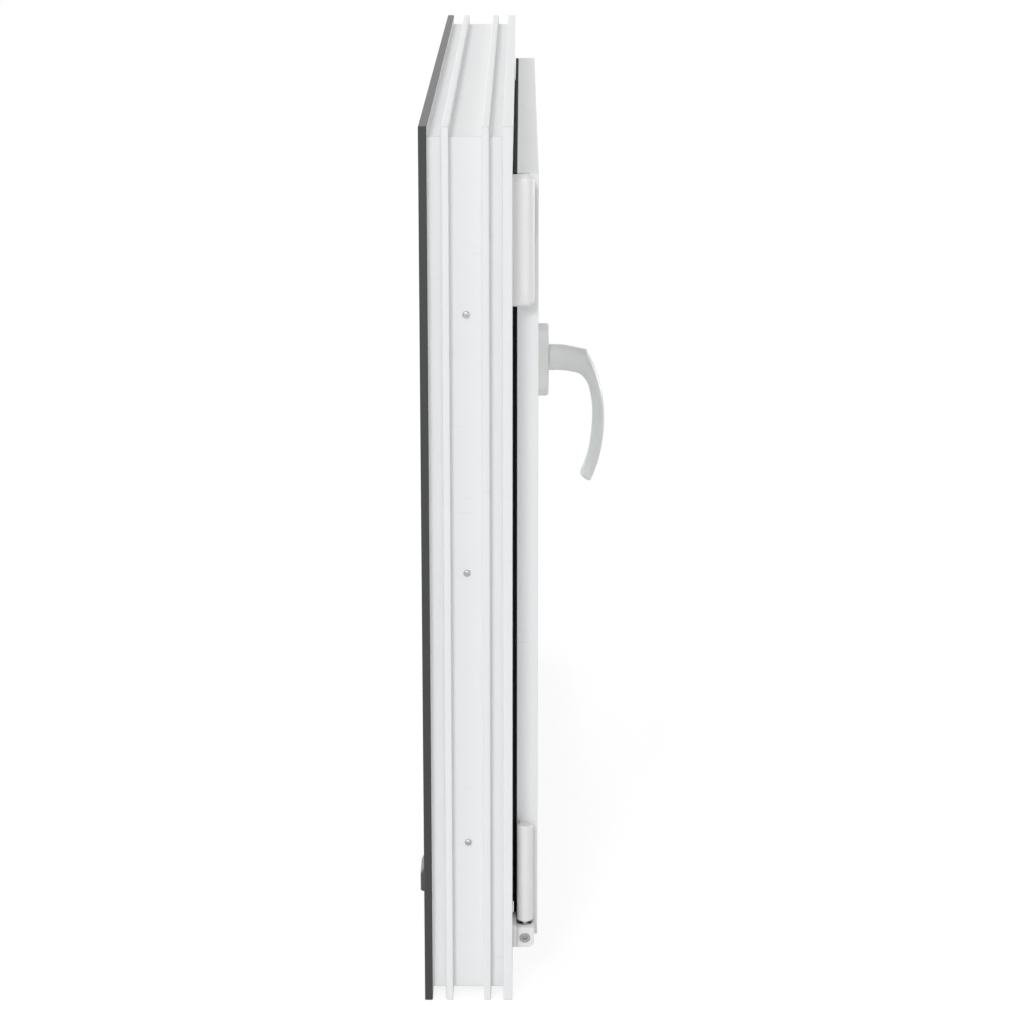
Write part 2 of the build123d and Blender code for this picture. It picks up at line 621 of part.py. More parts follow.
# Stay bearing: two knuckles on a plate at the top of the jamb, with a fixed pin through the stay arm
BEARING_PLAY = 0.1
BEARING_SLIM = 1.5
slim_edge = HINGE_X - BEARING_SLIM
plate_half = KNUCKLE_R + COVER_GAP - BEARING_PLAY
bearing_top = COVER_Z[1] - COVER_WALL - COVER_GAP
bearing_low = COVER_Z[0] + COVER_WALL + COVER_GAP
plate_y = (ROOM - BEARING_PLATE, ROOM)
knuckle_low = (STAY_Z[0] - KNUCKLE_GAP - KNUCKLE_HEIGHT, STAY_Z[0] - KNUCKLE_GAP)
knuckle_high = (STAY_Z[1] + KNUCKLE_GAP, bearing_top)
bearing = block((HINGE_X - plate_half, plate_y[0], bearing_low), (slim_edge, plate_y[1], bearing_top))
for low, high in ((bearing_low, knuckle_low[1]), knuckle_high):
    bearing += block((HINGE_X - plate_half, plate_y[0], low), (HINGE_X + plate_half, plate_y[1], high))
for low, high in (knuckle_low, knuckle_high):
    bearing += rod((HINGE_X, HINGE_Y, low), (HINGE_X, HINGE_Y, high), KNUCKLE_R)
    bearing += block((HINGE_X - KNUCKLE_R, HINGE_Y, low), (HINGE_X + KNUCKLE_R, ROOM, high))
pin_low = knuckle_low[0]
pin_high = bearing_top
bearing -= rod((HINGE_X, HINGE_Y, pin_low), (HINGE_X, HINGE_Y, pin_high), HINGE_PIN_R)
save("stay_bearing", without(bearing, [flat_screw(*place, SCREW_PLAY) for place in bearing_screws]))
save("stay_bearing_pin", rod((HINGE_X, HINGE_Y, pin_low), (HINGE_X, HINGE_Y, pin_high), HINGE_PIN_R))

# Cover of the stay bearing: a clipped-on D-shaped shell, open towards the sash where the stay arm swings
COVER_CUT_FRONT = 2.2
COVER_CUT_BACK = -0.5
COVER_CUT_PLAY = 2.0


def d_shell(radius, back, low, high):
    """A solid of D section round the hinge line, from its round front back to a flat face."""
    half_round = rod((HINGE_X, HINGE_Y, low), (HINGE_X, HINGE_Y, high), radius)
    return half_round + block((HINGE_X - radius, HINGE_Y, low), (HINGE_X + radius, back, high))


shell_in = KNUCKLE_R + COVER_GAP
shell_out = shell_in + COVER_WALL
bearing_cover = d_shell(shell_out, ROOM, *COVER_Z)
bearing_cover -= d_shell(shell_in, ROOM, COVER_Z[0] + COVER_WALL, COVER_Z[1] - COVER_WALL)
cut_z = (STAY_Z[0] - COVER_CUT_PLAY, STAY_Z[1] + COVER_CUT_PLAY)
far_x = HINGE_X + 2 * shell_out
cut_low = (HINGE_X + COVER_CUT_FRONT, HINGE_Y - 2 * shell_out, cut_z[0])
bearing_cover -= block(cut_low, (far_x, ROOM, cut_z[1]))
bearing_cover -= block((HINGE_X + COVER_CUT_BACK, HINGE_Y, cut_z[0]), (far_x, ROOM, cut_z[1]))
save("stay_bearing_cover", bearing_cover)

# Stay arm: turns on the bearing's pin, passes round the sash's edge, and slides in the top plate
ARM_BLOCK = 3.0
plate_back = ROOM - STAY_CLEAR
plate_front = plate_back - STAY_PLATE
arm_x = -WIDTH / 2 + FRAME_ROOM_FACE + STAY_FROM_FRAME
bar_low = SASH_TOP + STAY_BAR_LIFT
bar_z = (bar_low, bar_low + STAY_BAR_THICK)
bar_y = (GROOVE_Y - STAY_BAR_WIDTH / 2, GROOVE_Y + STAY_BAR_WIDTH / 2)
arm = rod((HINGE_X, HINGE_Y, STAY_Z[0]), (HINGE_X, HINGE_Y, STAY_Z[1]), KNUCKLE_R)
arm += block((HINGE_X, HINGE_Y, STAY_Z[0]), (HINGE_X + ARM_BLOCK, plate_back, STAY_Z[1]))
arm += block((HINGE_X, plate_front, STAY_Z[0]), (arm_x, plate_back, STAY_Z[1]))
arm += block((arm_x - STAY_PLATE, plate_front, STAY_Z[0]), (arm_x, bar_y[1], bar_z[1]))
arm += block((arm_x - STAY_PLATE, bar_y[0], bar_z[0]), (STAY_PIN_X + STAY_BAR_END, bar_y[1], bar_z[1]))
arm += rod((STAY_PIN_X, GROOVE_Y, SASH_TOP - STAY_PIN_DIP), (STAY_PIN_X, GROOVE_Y, bar_z[1]), HINGE_PIN_R)
arm -= rod((HINGE_X, HINGE_Y, STAY_Z[0]), (HINGE_X, HINGE_Y, STAY_Z[1]), HINGE_PIN_R + RUNNING_PLAY)
save("stay_arm", arm)

# Sash: four mitred hollow profiles with the hardware groove in their edge
seat_half = PLATE_WIDTH / 2 + PLATE_PLAY
groove_half = GROOVE_WIDTH / 2
seat_floor = SASH_BODY + SEAT_DEPTH
sash_outline = [
    (SASH_EDGE, SASH_ROOM), (BEAD_SEAT, SASH_ROOM), (BEAD_SEAT, GLASS_STOP), (UPSTAND_TIP, GLASS_STOP),
    (UPSTAND_TIP, SASH_OUT), (SASH_BODY + CLAD, SASH_OUT),
    (SASH_BODY + CLAD, SASH_CLAD_OUT - SASH_CLAD_RETURN),
    (SASH_BODY, SASH_CLAD_OUT - SASH_CLAD_RETURN), (SASH_BODY, GROOVE_Y + seat_half),
    (seat_floor, GROOVE_Y + seat_half), (seat_floor, GROOVE_Y + groove_half),
    (GROOVE_FLOOR, GROOVE_Y + groove_half), (GROOVE_FLOOR, GROOVE_Y - groove_half),
    (seat_floor, GROOVE_Y - groove_half), (seat_floor, GROOVE_Y - seat_half),
    (SASH_BODY, GROOVE_Y - seat_half), (SASH_BODY, LAP_BACK), (SASH_EDGE, LAP_BACK),
]
steel_across = (GROOVE_FLOOR + PVC_WALL, BEAD_SEAT - PVC_WALL)
sash_chambers = [
    ((SASH_EDGE + PVC_WALL, BEAD_SEAT - PVC_WALL), (SASH_ROOM + PVC_WALL, LAP_BACK - PVC_WALL)),
    (steel_across, (LAP_BACK, GLASS_STOP - PVC_WALL)),
    ((SASH_BODY + PVC_WALL, GROOVE_FLOOR), (GROOVE_Y + seat_half + PVC_WALL, GLASS_STOP)),
    ((SASH_BODY + CLAD + PVC_WALL, UPSTAND_TIP - PVC_WALL), (GLASS_STOP + PVC_WALL, SASH_OUT - PVC_WALL)),
]

# Screws of the plates along the sash's edge
corner_low = SASH_BODY + CORNER_LEG
corner_high = SASH_TOP - CORNER_LEG
corner_x = SASH_RIGHT - CORNER_LEG
PLATE_SCREW_INSET = 8.0
LEFT_SCREW_INSET = 20.0
plate_screws = {
    "right": [corner_low + PLATE_SCREW_INSET, corner_high - PLATE_SCREW_INSET],
    "head": [PLATE_LEFT + LEFT_SCREW_INSET, (STAY_PIN_X + STAY_BAR_END + TOP_ROD[0]) / 2],
    "sill": [PLATE_LEFT + LEFT_SCREW_INSET, BOTTOM_ROD[0] - ROD_TRAVEL - LEFT_SCREW_INSET],
    "left": [],
}
corner_screws = {
    "right": [SASH_BODY + CORNER_LEG / 2, SASH_TOP - CORNER_LEG / 2],
    "head": [SASH_RIGHT - CORNER_LEG / 2],
    "sill": [SASH_RIGHT - CORNER_LEG / 2],
    "left": [],
}
sash_screws = {}
for side in SIDES:
    places = plate_screws[side] + corner_screws[side]
    sash_screws[side] = [(spot(side, SASH_BODY, GROOVE_Y, along), inward(side)) for along in places]

# Pocket for the gear case, and the bores for the spindle and the handle's screws
case_across = (ROD_BACK + CASE_FROM_ROD, ROD_BACK + CASE_FROM_ROD + CASE_LENGTH)
case_y = (GROOVE_Y - CASE_WIDTH / 2, GROOVE_Y + CASE_WIDTH / 2)
case_z = (HANDLE_Z - CASE_HEIGHT / 2, HANDLE_Z + CASE_HEIGHT / 2)
pocket = side_block(
    "right",
    (SASH_BODY, case_across[1] + CASE_PLAY),
    (case_y[0] - CASE_PLAY, case_y[1] + CASE_PLAY),
    (case_z[0] - CASE_PLAY, case_z[1] + CASE_PLAY),
)
spindle_bore = rod((HANDLE_X, SASH_ROOM, HANDLE_Z), (HANDLE_X, GROOVE_Y, HANDLE_Z), GEAR_HUB_R)
handle_screw_heights = (HANDLE_Z - HANDLE_SCREW_SPAN / 2, HANDLE_Z + HANDLE_SCREW_SPAN / 2)
handle_screw_bores = []
for height in handle_screw_heights:
    bore_r = HANDLE_SCREW_R + SCREW_PLAY
    handle_screw_bores.append(rod((HANDLE_X, SASH_ROOM, height), (HANDLE_X, GROOVE_Y, height), bore_r))
handle_cuts = [pocket, spindle_bore] + handle_screw_bores

sash_names = {
    "left": "sash_stile_left", "right": "sash_stile_right",
    "sill": "sash_rail_bottom", "head": "sash_rail_top",
}
sash_steels = []
for side, name in sash_names.items():
    holes = [flat_screw(*place, SCREW_PLAY) for place in sash_screws[side]]
    if side == "right":
        holes += handle_cuts
    tube = steel_tube(side, *sash_chambers[1], BEAD_SEAT + SASH_STEEL_SETBACK)
    sash_steels.append(without(tube, holes))
    if side == "left":
        holes += peg_bores
    save(name, without(bar(side, sash_outline, sash_chambers), holes))
save("sash_reinforcements", *sash_steels)

# Outdoor cladding of the sash
sash_clad_outline = [
    (SASH_BODY, SASH_CLAD_OUT), (SIGHT_LINE, SASH_CLAD_OUT), (SIGHT_LINE, GLASS_STOP),
    (UPSTAND_TIP, GLASS_STOP), (UPSTAND_TIP, SASH_OUT), (SASH_BODY + CLAD, SASH_OUT),
    (SASH_BODY + CLAD, SASH_CLAD_OUT - SASH_CLAD_RETURN),
    (SASH_BODY, SASH_CLAD_OUT - SASH_CLAD_RETURN),
]
for side in SIDES:
    save(f"sash_cladding_{side}", bar(side, sash_clad_outline))

# Lap gasket: a black seal behind the sash's lap, left out where the stay arm passes
LAP_SEAL_INSET = 0.8
LAP_SEAL_WIDTH = 8.0
LAP_SEAL_CLEAR = 0.8
NOTCH_PLAY = 4.0
seal_across = (SASH_EDGE + LAP_SEAL_INSET, SASH_EDGE + LAP_SEAL_INSET + LAP_SEAL_WIDTH)
lap_seal = ring(seal_across, (LAP_BACK, ROOM - LAP_SEAL_CLEAR))
lap_seal -= side_block(
    "left", (SASH_EDGE, SASH_BODY), (LAP_BACK, ROOM), (STAY_Z[0] - NOTCH_PLAY, STAY_Z[1] + NOTCH_PLAY)
)
save("sash_gasket", lap_seal)

# Sealed glazing unit: two panes, a spacer and an edge seal, standing on blocks in the sash


def pane(deep):
    """A sheet of glass between two depths."""
    corner = (-WIDTH / 2 + GLASS_EDGE, deep[0], GLASS_EDGE)
    return block(corner, (WIDTH / 2 - GLASS_EDGE, deep[1], HEIGHT - GLASS_EDGE))


save("glass_outer", pane((CAVITY_OUT, PANE_OUT)))
save("glass_inner", pane((PANE_ROOM, CAVITY_ROOM)))
spacer_start = GLASS_EDGE + EDGE_SEAL_WIDTH
save("glazing_seal", ring((GLASS_EDGE, spacer_start), (CAVITY_ROOM, CAVITY_OUT)))
save("glazing_spacer", ring((spacer_start, spacer_start + SPACER_WIDTH), (CAVITY_ROOM, CAVITY_OUT)))
glazing_blocks = []
for side in SIDES:
    span = HEIGHT if side in JAMBS else WIDTH
    middle = HEIGHT / 2 if side in JAMBS else 0.0
    for way in (-1, 1):
        outer = middle + way * (span / 2 - BEAD_SEAT - BLOCK_FROM_CORNER + BLOCK_LENGTH)
        along = (outer, outer - way * BLOCK_LENGTH)
        glazing_blocks.append(side_block(side, (BEAD_SEAT, GLASS_EDGE), (PANE_ROOM, PANE_OUT), along))
save("glazing_blocks", *glazing_blocks)
glazing_seal_across = (BEAD_SEAT + GLAZING_SEAL_HIDDEN, SIGHT_LINE + GLAZING_SEAL_PROUD)
outer_seal = ring(glazing_seal_across, (PANE_OUT, GLASS_STOP))
save("glazing_gaskets", outer_seal, ring(glazing_seal_across, (BEAD_BACK, PANE_ROOM)))

# Glazing beads: mitred strips clipped into the room side of the sash
bead_room = SASH_ROOM + BEAD_SETBACK
bead_outline = [
    (BEAD_SEAT + BEAD_PLAY, bead_room), (BEAD_SEAT + BEAD_FLAT, bead_room),
    (SIGHT_LINE, bead_room + BEAD_SLOPE), (SIGHT_LINE, BEAD_BACK), (BEAD_SEAT + BEAD_PLAY, BEAD_BACK),
]
for side in SIDES:
    save(f"glazing_bead_{side}", bar(side, bead_outline))

# Plates along the sash's edge, slotted for the cams and the stay arm's pin
plate_across = (SASH_BODY, SASH_BODY + PLATE_THICKNESS)
plate_deep = (GROOVE_Y - PLATE_WIDTH / 2, GROOVE_Y + PLATE_WIDTH / 2)
right_ends = (corner_low + PLATE_JOINT, corner_high - PLATE_JOINT)
right_plate = side_block("right", plate_across, plate_deep, right_ends)
top_plate = side_block("head", plate_across, plate_deep, (PLATE_LEFT, corner_x - PLATE_JOINT))
bottom_plate = side_block("sill", plate_across, plate_deep, (PLATE_LEFT, corner_x - PLATE_JOINT))


def cam_slot(side, closed, travel):
    """The slot that a cam's shank runs in."""
    half = CAM_R + CAM_SLOT_PLAY
    low = min(closed, closed + travel) - half
    high = max(closed, closed + travel) + half
    return side_block(side, plate_across, (GROOVE_Y - half, GROOVE_Y + half), (low, high))


for closed in RIGHT_CAMS:
    right_plate -= cam_slot("right", closed, -ROD_TRAVEL)
top_plate -= cam_slot("head", TOP_CAM, ROD_TRAVEL)
bottom_plate -= cam_slot("sill", TILT_CAM, -ROD_TRAVEL)
stay_half = HINGE_PIN_R + STAY_SLOT_PLAY
stay_slot_x = (STAY_PIN_X - STAY_SLOT_BACK - stay_half, STAY_PIN_X + STAY_SLOT_FRONT + stay_half)
top_plate -= side_block("head", plate_across, (GROOVE_Y - stay_half, GROOVE_Y + stay_half), stay_slot_x)
plate_holes = {side: [flat_screw(*place, SCREW_PLAY) for place in sash_screws[side]] for side in SIDES}
save("faceplate_right", without(right_plate, plate_holes["right"]))
save("faceplate_top", without(top_plate, plate_holes["head"]))
save("faceplate_bottom", without(bottom_plate, plate_holes["sill"]))

corner_drives = []
for side, corner_end, leg_end in (("head", SASH_TOP, corner_high), ("sill", SASH_BODY, corner_low)):
    drive = side_block("right", plate_across, plate_deep, (corner_end, leg_end))
    drive += side_block(side, plate_across, plate_deep, (corner_x, SASH_RIGHT))
    corner_drives.append(without(drive, plate_holes["right"] + plate_holes[side]))
save("corner_drives", *corner_drives)
save("sash_hardware_screws", *[flat_screw(*place) for places in sash_screws.values() for place in places])

# Gear case behind the handle
case = side_block("right", case_across, case_y, case_z)
gear_y = (GROOVE_Y - GEAR_WIDTH / 2, GROOVE_Y + GEAR_WIDTH / 2)
room_y = (gear_y[0] - GEAR_SIDE_ROOM, gear_y[1] + GEAR_SIDE_ROOM)
gear_tip = PITCH_R + GEAR_MODULE
case -= rod((HANDLE_X, room_y[0], HANDLE_Z), (HANDLE_X, room_y[1], HANDLE_Z), gear_tip + GEAR_TIP_ROOM)
case -= rod((HANDLE_X, case_y[0], HANDLE_Z), (HANDLE_X, case_y[1], HANDLE_Z), GEAR_HUB_R + RUNNING_PLAY)
pitch_line = SASH_BODY + BACKSET - PITCH_R
rack_tip = pitch_line + GEAR_MODULE
case -= side_block("right", (case_across[0], rack_tip + GEAR_TIP_ROOM), room_y, case_z)
save("gearbox_case", without(case, handle_screw_bores))

# Pinion: involute teeth by formula, one tooth pointing at the rack when the handle hangs down
pressure = math.radians(PRESSURE_ANGLE)
base_r = PITCH_R * math.cos(pressure)
root_r = PITCH_R - 1.25 * GEAR_MODULE
half_tooth = math.pi / (2 * GEAR_TEETH) - GEAR_BACKLASH / (4 * PITCH_R)
FLANK_STEPS = 4


def involute(angle):
    """How far an involute has unwound at a pressure angle."""
    return math.tan(angle) - angle


flank = [(root_r, half_tooth + involute(pressure))]
for step in range(FLANK_STEPS + 1):
    radius = base_r + (gear_tip - base_r) * step / FLANK_STEPS
    flank.append((radius, half_tooth + involute(pressure) - involute(math.acos(base_r / radius))))
gear_outline = []
for tooth in range(GEAR_TEETH):
    centre = 2 * math.pi * tooth / GEAR_TEETH
    for radius, spread in flank:
        gear_outline.append((radius * math.cos(centre - spread), radius * math.sin(centre - spread)))
    for radius, spread in reversed(flank):
        gear_outline.append((radius * math.cos(centre + spread), radius * math.sin(centre + spread)))
gear_plane = Plane(origin=(HANDLE_X, gear_y[1], HANDLE_Z), x_dir=(1, 0, 0), z_dir=(0, -1, 0))
pinion = extrude(gear_plane * make_face(Polyline(*gear_outline, close=True)), amount=GEAR_WIDTH)
pinion += rod((HANDLE_X, case_y[0], HANDLE_Z), (HANDLE_X, case_y[1], HANDLE_Z), GEAR_HUB_R)


def square_bar(low_y, high_y):
    """The handle's square spindle between two depths."""
    half = SPINDLE / 2
    return block((HANDLE_X - half, low_y, HANDLE_Z - half), (HANDLE_X + half, high_y, HANDLE_Z + half))


SPINDLE_IN_GRIP = 4.0
SPINDLE_SETBACK = 1.0
spindle_y = (SASH_ROOM - ROSETTE_DEEP - SPINDLE_IN_GRIP, GROOVE_Y + CASE_WIDTH / 2 - SPINDLE_SETBACK)
save("pinion", pinion - square_bar(*spindle_y))
save("spindle", square_bar(*spindle_y))


# Drive rods with their cams; the right one carries the rack
def cam(side, along):
    """A mushroom cam riveted to a rod."""
    shank = side_rod(side, (CAM_TIP, ROD_FACE), GROOVE_Y, along, CAM_R)
    return shank + side_rod(side, (CAM_TIP, CAM_TIP + CAM_HEAD), GROOVE_Y, along, CAM_HEAD_R)


rod_across = (ROD_FACE, ROD_BACK)
rod_deep = (GROOVE_Y - ROD_WIDTH / 2, GROOVE_Y + ROD_WIDTH / 2)
rack_pitch = math.pi * GEAR_MODULE
rack_half = rack_pitch / 4 - GEAR_BACKLASH / 4
slope = math.tan(pressure)
RACK_TEETH_DOWN = 4
RACK_TEETH_UP = 14
RACK_INSET = 0.2
right_rod = side_block("right", rod_across, rod_deep, RIGHT_ROD)
for tooth in range(-RACK_TEETH_DOWN, RACK_TEETH_UP):
    centre = HANDLE_Z + (tooth + 0.5) * rack_pitch
    wide = rack_half + (pitch_line - ROD_BACK) * slope
    narrow = rack_half - GEAR_MODULE * slope
    root_x = WIDTH / 2 - ROD_BACK
    tip_x = WIDTH / 2 - rack_tip
    lower = [(root_x, centre - wide), (tip_x, centre - narrow)]
    upper = [(tip_x, centre + narrow), (root_x, centre + wide)]
    tooth_line = Polyline(*lower, *upper, close=True)
    tooth_plane = Plane(origin=(0, gear_y[1] - RACK_INSET, 0), x_dir=(1, 0, 0), z_dir=(0, -1, 0))
    right_rod += extrude(tooth_plane * make_face(tooth_line), amount=GEAR_WIDTH - 2 * RACK_INSET)
save("drive_rod_right", right_rod, *[cam("right", along) for along in RIGHT_CAMS])
save("drive_rod_top", side_block("head", rod_across, rod_deep, TOP_ROD), cam("head", TOP_CAM))
save("drive_rod_bottom", side_block("sill", rod_across, rod_deep, BOTTOM_ROD), cam("sill", TILT_CAM))

# Handle rosette: a screwed base with a bearing collar, under a rounded cover
rosette_plane = Plane(origin=(HANDLE_X, SASH_ROOM, HANDLE_Z), x_dir=(0, 0, 1), z_dir=(0, -1, 0))


def stadium(shrink, thickness):
    """An upright plate with round ends, standing on the sash's room face."""
    outline = SlotOverall(ROSETTE_LENGTH - 2 * shrink, ROSETTE_WIDTH - 2 * shrink)
    return extrude(rosette_plane * outline, amount=thickness)


def spindle_rod(start, end, radius):
    """A round bar about the spindle between two distances off the sash."""
    return rod((HANDLE_X, SASH_ROOM - start, HANDLE_Z), (HANDLE_X, SASH_ROOM - end, HANDLE_Z), radius)


rosette_cover = stadium(0, ROSETTE_DEEP)
rosette_cover = fillet(rosette_cover.faces().sort_by(Axis.Y)[0].edges(), ROSETTE_EDGE)
rosette_cover -= stadium(ROSETTE_WALL, ROSETTE_DEEP - ROSETTE_WALL)
rosette_cover -= spindle_rod(0, ROSETTE_DEEP, JOURNAL_R + RUNNING_PLAY)
save("rosette_cover", rosette_cover)
collar_top = ROSETTE_DEEP - ROSETTE_WALL - ROSETTE_PLAY
rosette_base = stadium(ROSETTE_WALL + ROSETTE_PLAY, ROSETTE_BASE) + spindle_rod(0, collar_top, COLLAR_R)
rosette_base -= spindle_rod(0, collar_top, JOURNAL_R + RUNNING_PLAY)
HANDLE_SCREW_SHORT = 1.0
handle_screws = []
for height in handle_screw_heights:
    seat = (HANDLE_X, SASH_ROOM - ROSETTE_BASE, height)
    shank_end = (HANDLE_X, GROOVE_Y - HANDLE_SCREW_SHORT, height)
    rosette_base -= rod(seat, (HANDLE_X, SASH_ROOM, height), HANDLE_SCREW_R + SCREW_PLAY)
    head_r, head_h = HANDLE_SCREW_HEAD
    head = rod((HANDLE_X, seat[1] - head_h, height), seat, head_r)
    handle_screws.append(head + rod(seat, shank_end, HANDLE_SCREW_R))
save("rosette_base", rosette_base)
save("handle_screws", *handle_screws)

# Handle grip: a lever of oval section that leaves the rosette, bends down and curls back to the sash
GRIP_STEPS = 4
GRIP_ROUNDNESS = 0.46


def smooth(points, place):
    """A point on the smooth curve through the points, where place counts along them from 0."""
    index = min(int(place), len(points) - 2)
    part = place - index
    start, end = points[index], points[index + 1]
    before = points[max(index - 1, 0)]
    after = points[min(index + 2, len(points) - 1)]
    curve = []
    for p0, p1, p2, p3 in zip(before, start, end, after):
        bend = (2 * p0 - 5 * p1 + 4 * p2 - p3) * part ** 2 + (3 * p1 - p0 - 3 * p2 + p3) * part ** 3
        curve.append(p1 + (part * (p2 - p0) + bend) / 2)
    return curve


outer_edge = [station[0] for station in GRIP_STATIONS]
inner_edge = [station[1] for station in GRIP_STATIONS]
sections = []
for step in range((len(GRIP_STATIONS) - 1) * GRIP_STEPS + 1):
    outer = smooth(outer_edge, step / GRIP_STEPS)
    inner = smooth(inner_edge, step / GRIP_STEPS)
    height = math.dist(outer, inner)
    origin = (HANDLE_X, SASH_ROOM - (outer[0] + inner[0]) / 2, HANDLE_Z + (outer[1] + inner[1]) / 2)
    upward = Vector(0, inner[0] - outer[0], outer[1] - inner[1])
    section_plane = Plane(origin=origin, x_dir=(1, 0, 0), z_dir=Vector(1, 0, 0).cross(upward))
    roundness = GRIP_ROUNDNESS * min(GRIP_WIDTH, height)
    sections.append(section_plane * RectangleRounded(GRIP_WIDTH, height, roundness))
grip = loft(sections, ruled=True)
grip += spindle_rod(ROSETTE_BASE, ROSETTE_DEEP + HANDLE_GAP, JOURNAL_R)
save("handle_grip", grip - square_bar(*spindle_y))
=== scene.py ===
import math

import bmesh
import bpy
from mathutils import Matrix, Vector


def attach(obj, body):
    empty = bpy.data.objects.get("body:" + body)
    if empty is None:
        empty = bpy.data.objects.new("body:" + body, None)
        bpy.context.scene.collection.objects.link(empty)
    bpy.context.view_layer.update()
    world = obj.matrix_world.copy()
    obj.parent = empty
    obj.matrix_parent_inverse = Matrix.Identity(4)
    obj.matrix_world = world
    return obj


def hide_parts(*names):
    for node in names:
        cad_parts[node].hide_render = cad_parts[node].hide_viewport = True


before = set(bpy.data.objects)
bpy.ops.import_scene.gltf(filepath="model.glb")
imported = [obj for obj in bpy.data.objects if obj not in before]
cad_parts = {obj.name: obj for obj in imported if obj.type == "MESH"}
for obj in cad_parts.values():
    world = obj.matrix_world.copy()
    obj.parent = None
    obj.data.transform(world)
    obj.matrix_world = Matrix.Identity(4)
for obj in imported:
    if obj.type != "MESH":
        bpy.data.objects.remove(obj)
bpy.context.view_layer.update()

# Outer frame
# Four lengths of white PVC profile with three anchor grooves round the outside. They are extruded hollow,
# sawn at 45 degrees, and welded at the corners, where a shallow groove is routed along the seam and drawn
# darker as painted shade.
MM = 0.001
WIDTH = 900.0
HEIGHT = 700.0
ROOM = -35.0
OUTDOOR = 35.0
CLAD = 2.0
CLAD_BACK = OUTDOOR - CLAD
CLAD_RETURN = 6.3
FRAME_FACE = 65.0
FRAME_ROOM_FACE = 48.0
REBATE_STOP = 16.0
ANCHOR_GROOVE = 8.3
RIB_EDGES = (-18.0, -12.3, 12.4, 18.4)
FLANGE_BACK = -27.7
SOFT_EDGE = 0.6
RIB_ROUNDS = (1.5, 1.0, 0.8, 2.4)
FLANGE_ROUND = 1.0
CORNER_SHARE = 0.45
WELD_DEPTH = 0.3
WELD_RUN = 1.3
SMOOTH_TO = math.radians(38.0)
UPRIGHTS = ("left", "right")
SIDES = (*UPRIGHTS, "sill", "head")
LINE_STRETCH = (1.0, 1.0, 0.012)
# Each way that marks run: the turn of their pattern and its stretch
SCUFF_WAYS = (((0.5, 0.3, 0.2), (1.0, 9.0, 9.0)), ((-0.4, 0.9, 0.6), (11.0, 1.0, 11.0)))


def spot(side, across, y, along):
    """The point at a width from the frame's outer edge; along is a height on jambs, else an x."""
    return {
        "left": (-WIDTH / 2 + across, y, along),
        "right": (WIDTH / 2 - across, y, along),
        "sill": (along, y, across),
        "head": (along, y, HEIGHT - across),
    }[side]


def rounded(outline, radius, steps=4):
    """The outline with each corner turned into a small arc; a third number is that corner's own radius."""
    points = []
    for index, corner in enumerate(outline):
        here = Vector(corner[:2])
        back = Vector(outline[index - 1][:2]) - here
        ahead = Vector(outline[(index + 1) % len(outline)][:2]) - here
        wanted = corner[2] if len(corner) > 2 else radius
        most = min(back.length * CORNER_SHARE, ahead.length * CORNER_SHARE)
        reach = min(wanted / math.tan(back.angle(ahead) / 2), most)
        start = here + back.normalized() * reach
        end = here + ahead.normalized() * reach
        for step in range(steps + 1):
            part = step / steps
            points.append(start * (1 - part) ** 2 + here * 2 * part * (1 - part) + end * part ** 2)
    return points


def shrunk(loop, depth):
    """The loop moved into its own area by a depth."""
    area = sum(a.x * b.y - b.x * a.y for a, b in zip(loop, loop[1:] + loop[:1]))
    turn = 1 if area > 0 else -1
    moved = []
    for index, point in enumerate(loop):
        run = loop[(index + 1) % len(loop)] - loop[index - 1]
        normal = Vector((-run.y, run.x)).normalized() * turn
        moved.append(point + normal * depth)
    return moved


def to_piece(name, shell, break_edges=0.0):
    """A smooth-shaded object from a finished shell, its sharp edges broken where a width is given."""
    mesh = bpy.data.meshes.new(name)
    shell.to_mesh(mesh)
    shell.free()
    mesh.polygons.foreach_set("use_smooth", [True] * len(mesh.polygons))
    mesh.set_sharp_from_angle(angle=SMOOTH_TO)
    piece = bpy.data.objects.new(name, mesh)
    bpy.context.scene.collection.objects.link(piece)
    if break_edges:
        bevel = piece.modifiers.new("broken_edges", "BEVEL")
        bevel.width = break_edges * MM
        bevel.segments = 2
        bevel.limit_method = "ANGLE"
        bevel.angle_limit = SMOOTH_TO
    even = piece.modifiers.new("even_shading", "WEIGHTED_NORMAL")
    even.keep_sharp = True
    return piece


def join_rows(shell, rows):
    """Faces from each ring of verts to the next."""
    for row, following in zip(rows, rows[1:]):
        for index in range(len(row)):
            step = (index + 1) % len(row)
            shell.faces.new((row[index], row[step], following[step], following[index]))


def skin(name, rings, closed=False, seam_shades=()):
    """A piece over a run of point rings, capped unless closed; a share given for each ring is how much
    painted seam shade its points take.
    """
    shell = bmesh.new()
    seam = shell.verts.layers.float.new("seam") if seam_shades else None
    rows = [[shell.verts.new(Vector(point) * MM) for point in ring] for ring in rings]
    for row, share in zip(rows, seam_shades):
        for vert in row:
            vert[seam] = share
    if closed:
        join_rows(shell, rows + rows[:1])
    else:
        join_rows(shell, rows)
        caps = [shell.faces.new(rows[0]), shell.faces.new(rows[-1])]
        shell.normal_update()
        bmesh.ops.triangulate(shell, faces=caps, ngon_method="EAR_CLIP")
    bmesh.ops.recalc_face_normals(shell, faces=shell.faces)
    return to_piece(name, shell)


def mitred_bar(name, side, loop, depth, run):
    """A length of profile along one side, its ends sunk by a depth over a short run at each corner seam,
    where painted seam shade is marked.
    """
    start, end = (0.0, HEIGHT) if side in UPRIGHTS else (-WIDTH / 2, WIDTH / 2)
    sunk = shrunk(loop, depth)
    rings = []
    for points, off in ((sunk, 0.0), (loop, run)):
        rings.append([spot(side, p.x, p.y, start + p.x + off) for p in points])
    for points, off in ((loop, run), (sunk, 0.0)):
        rings.append([spot(side, p.x, p.y, end - p.x - off) for p in points])
    return skin(name, rings, seam_shades=(1.0, 0.0, 0.0, 1.0))


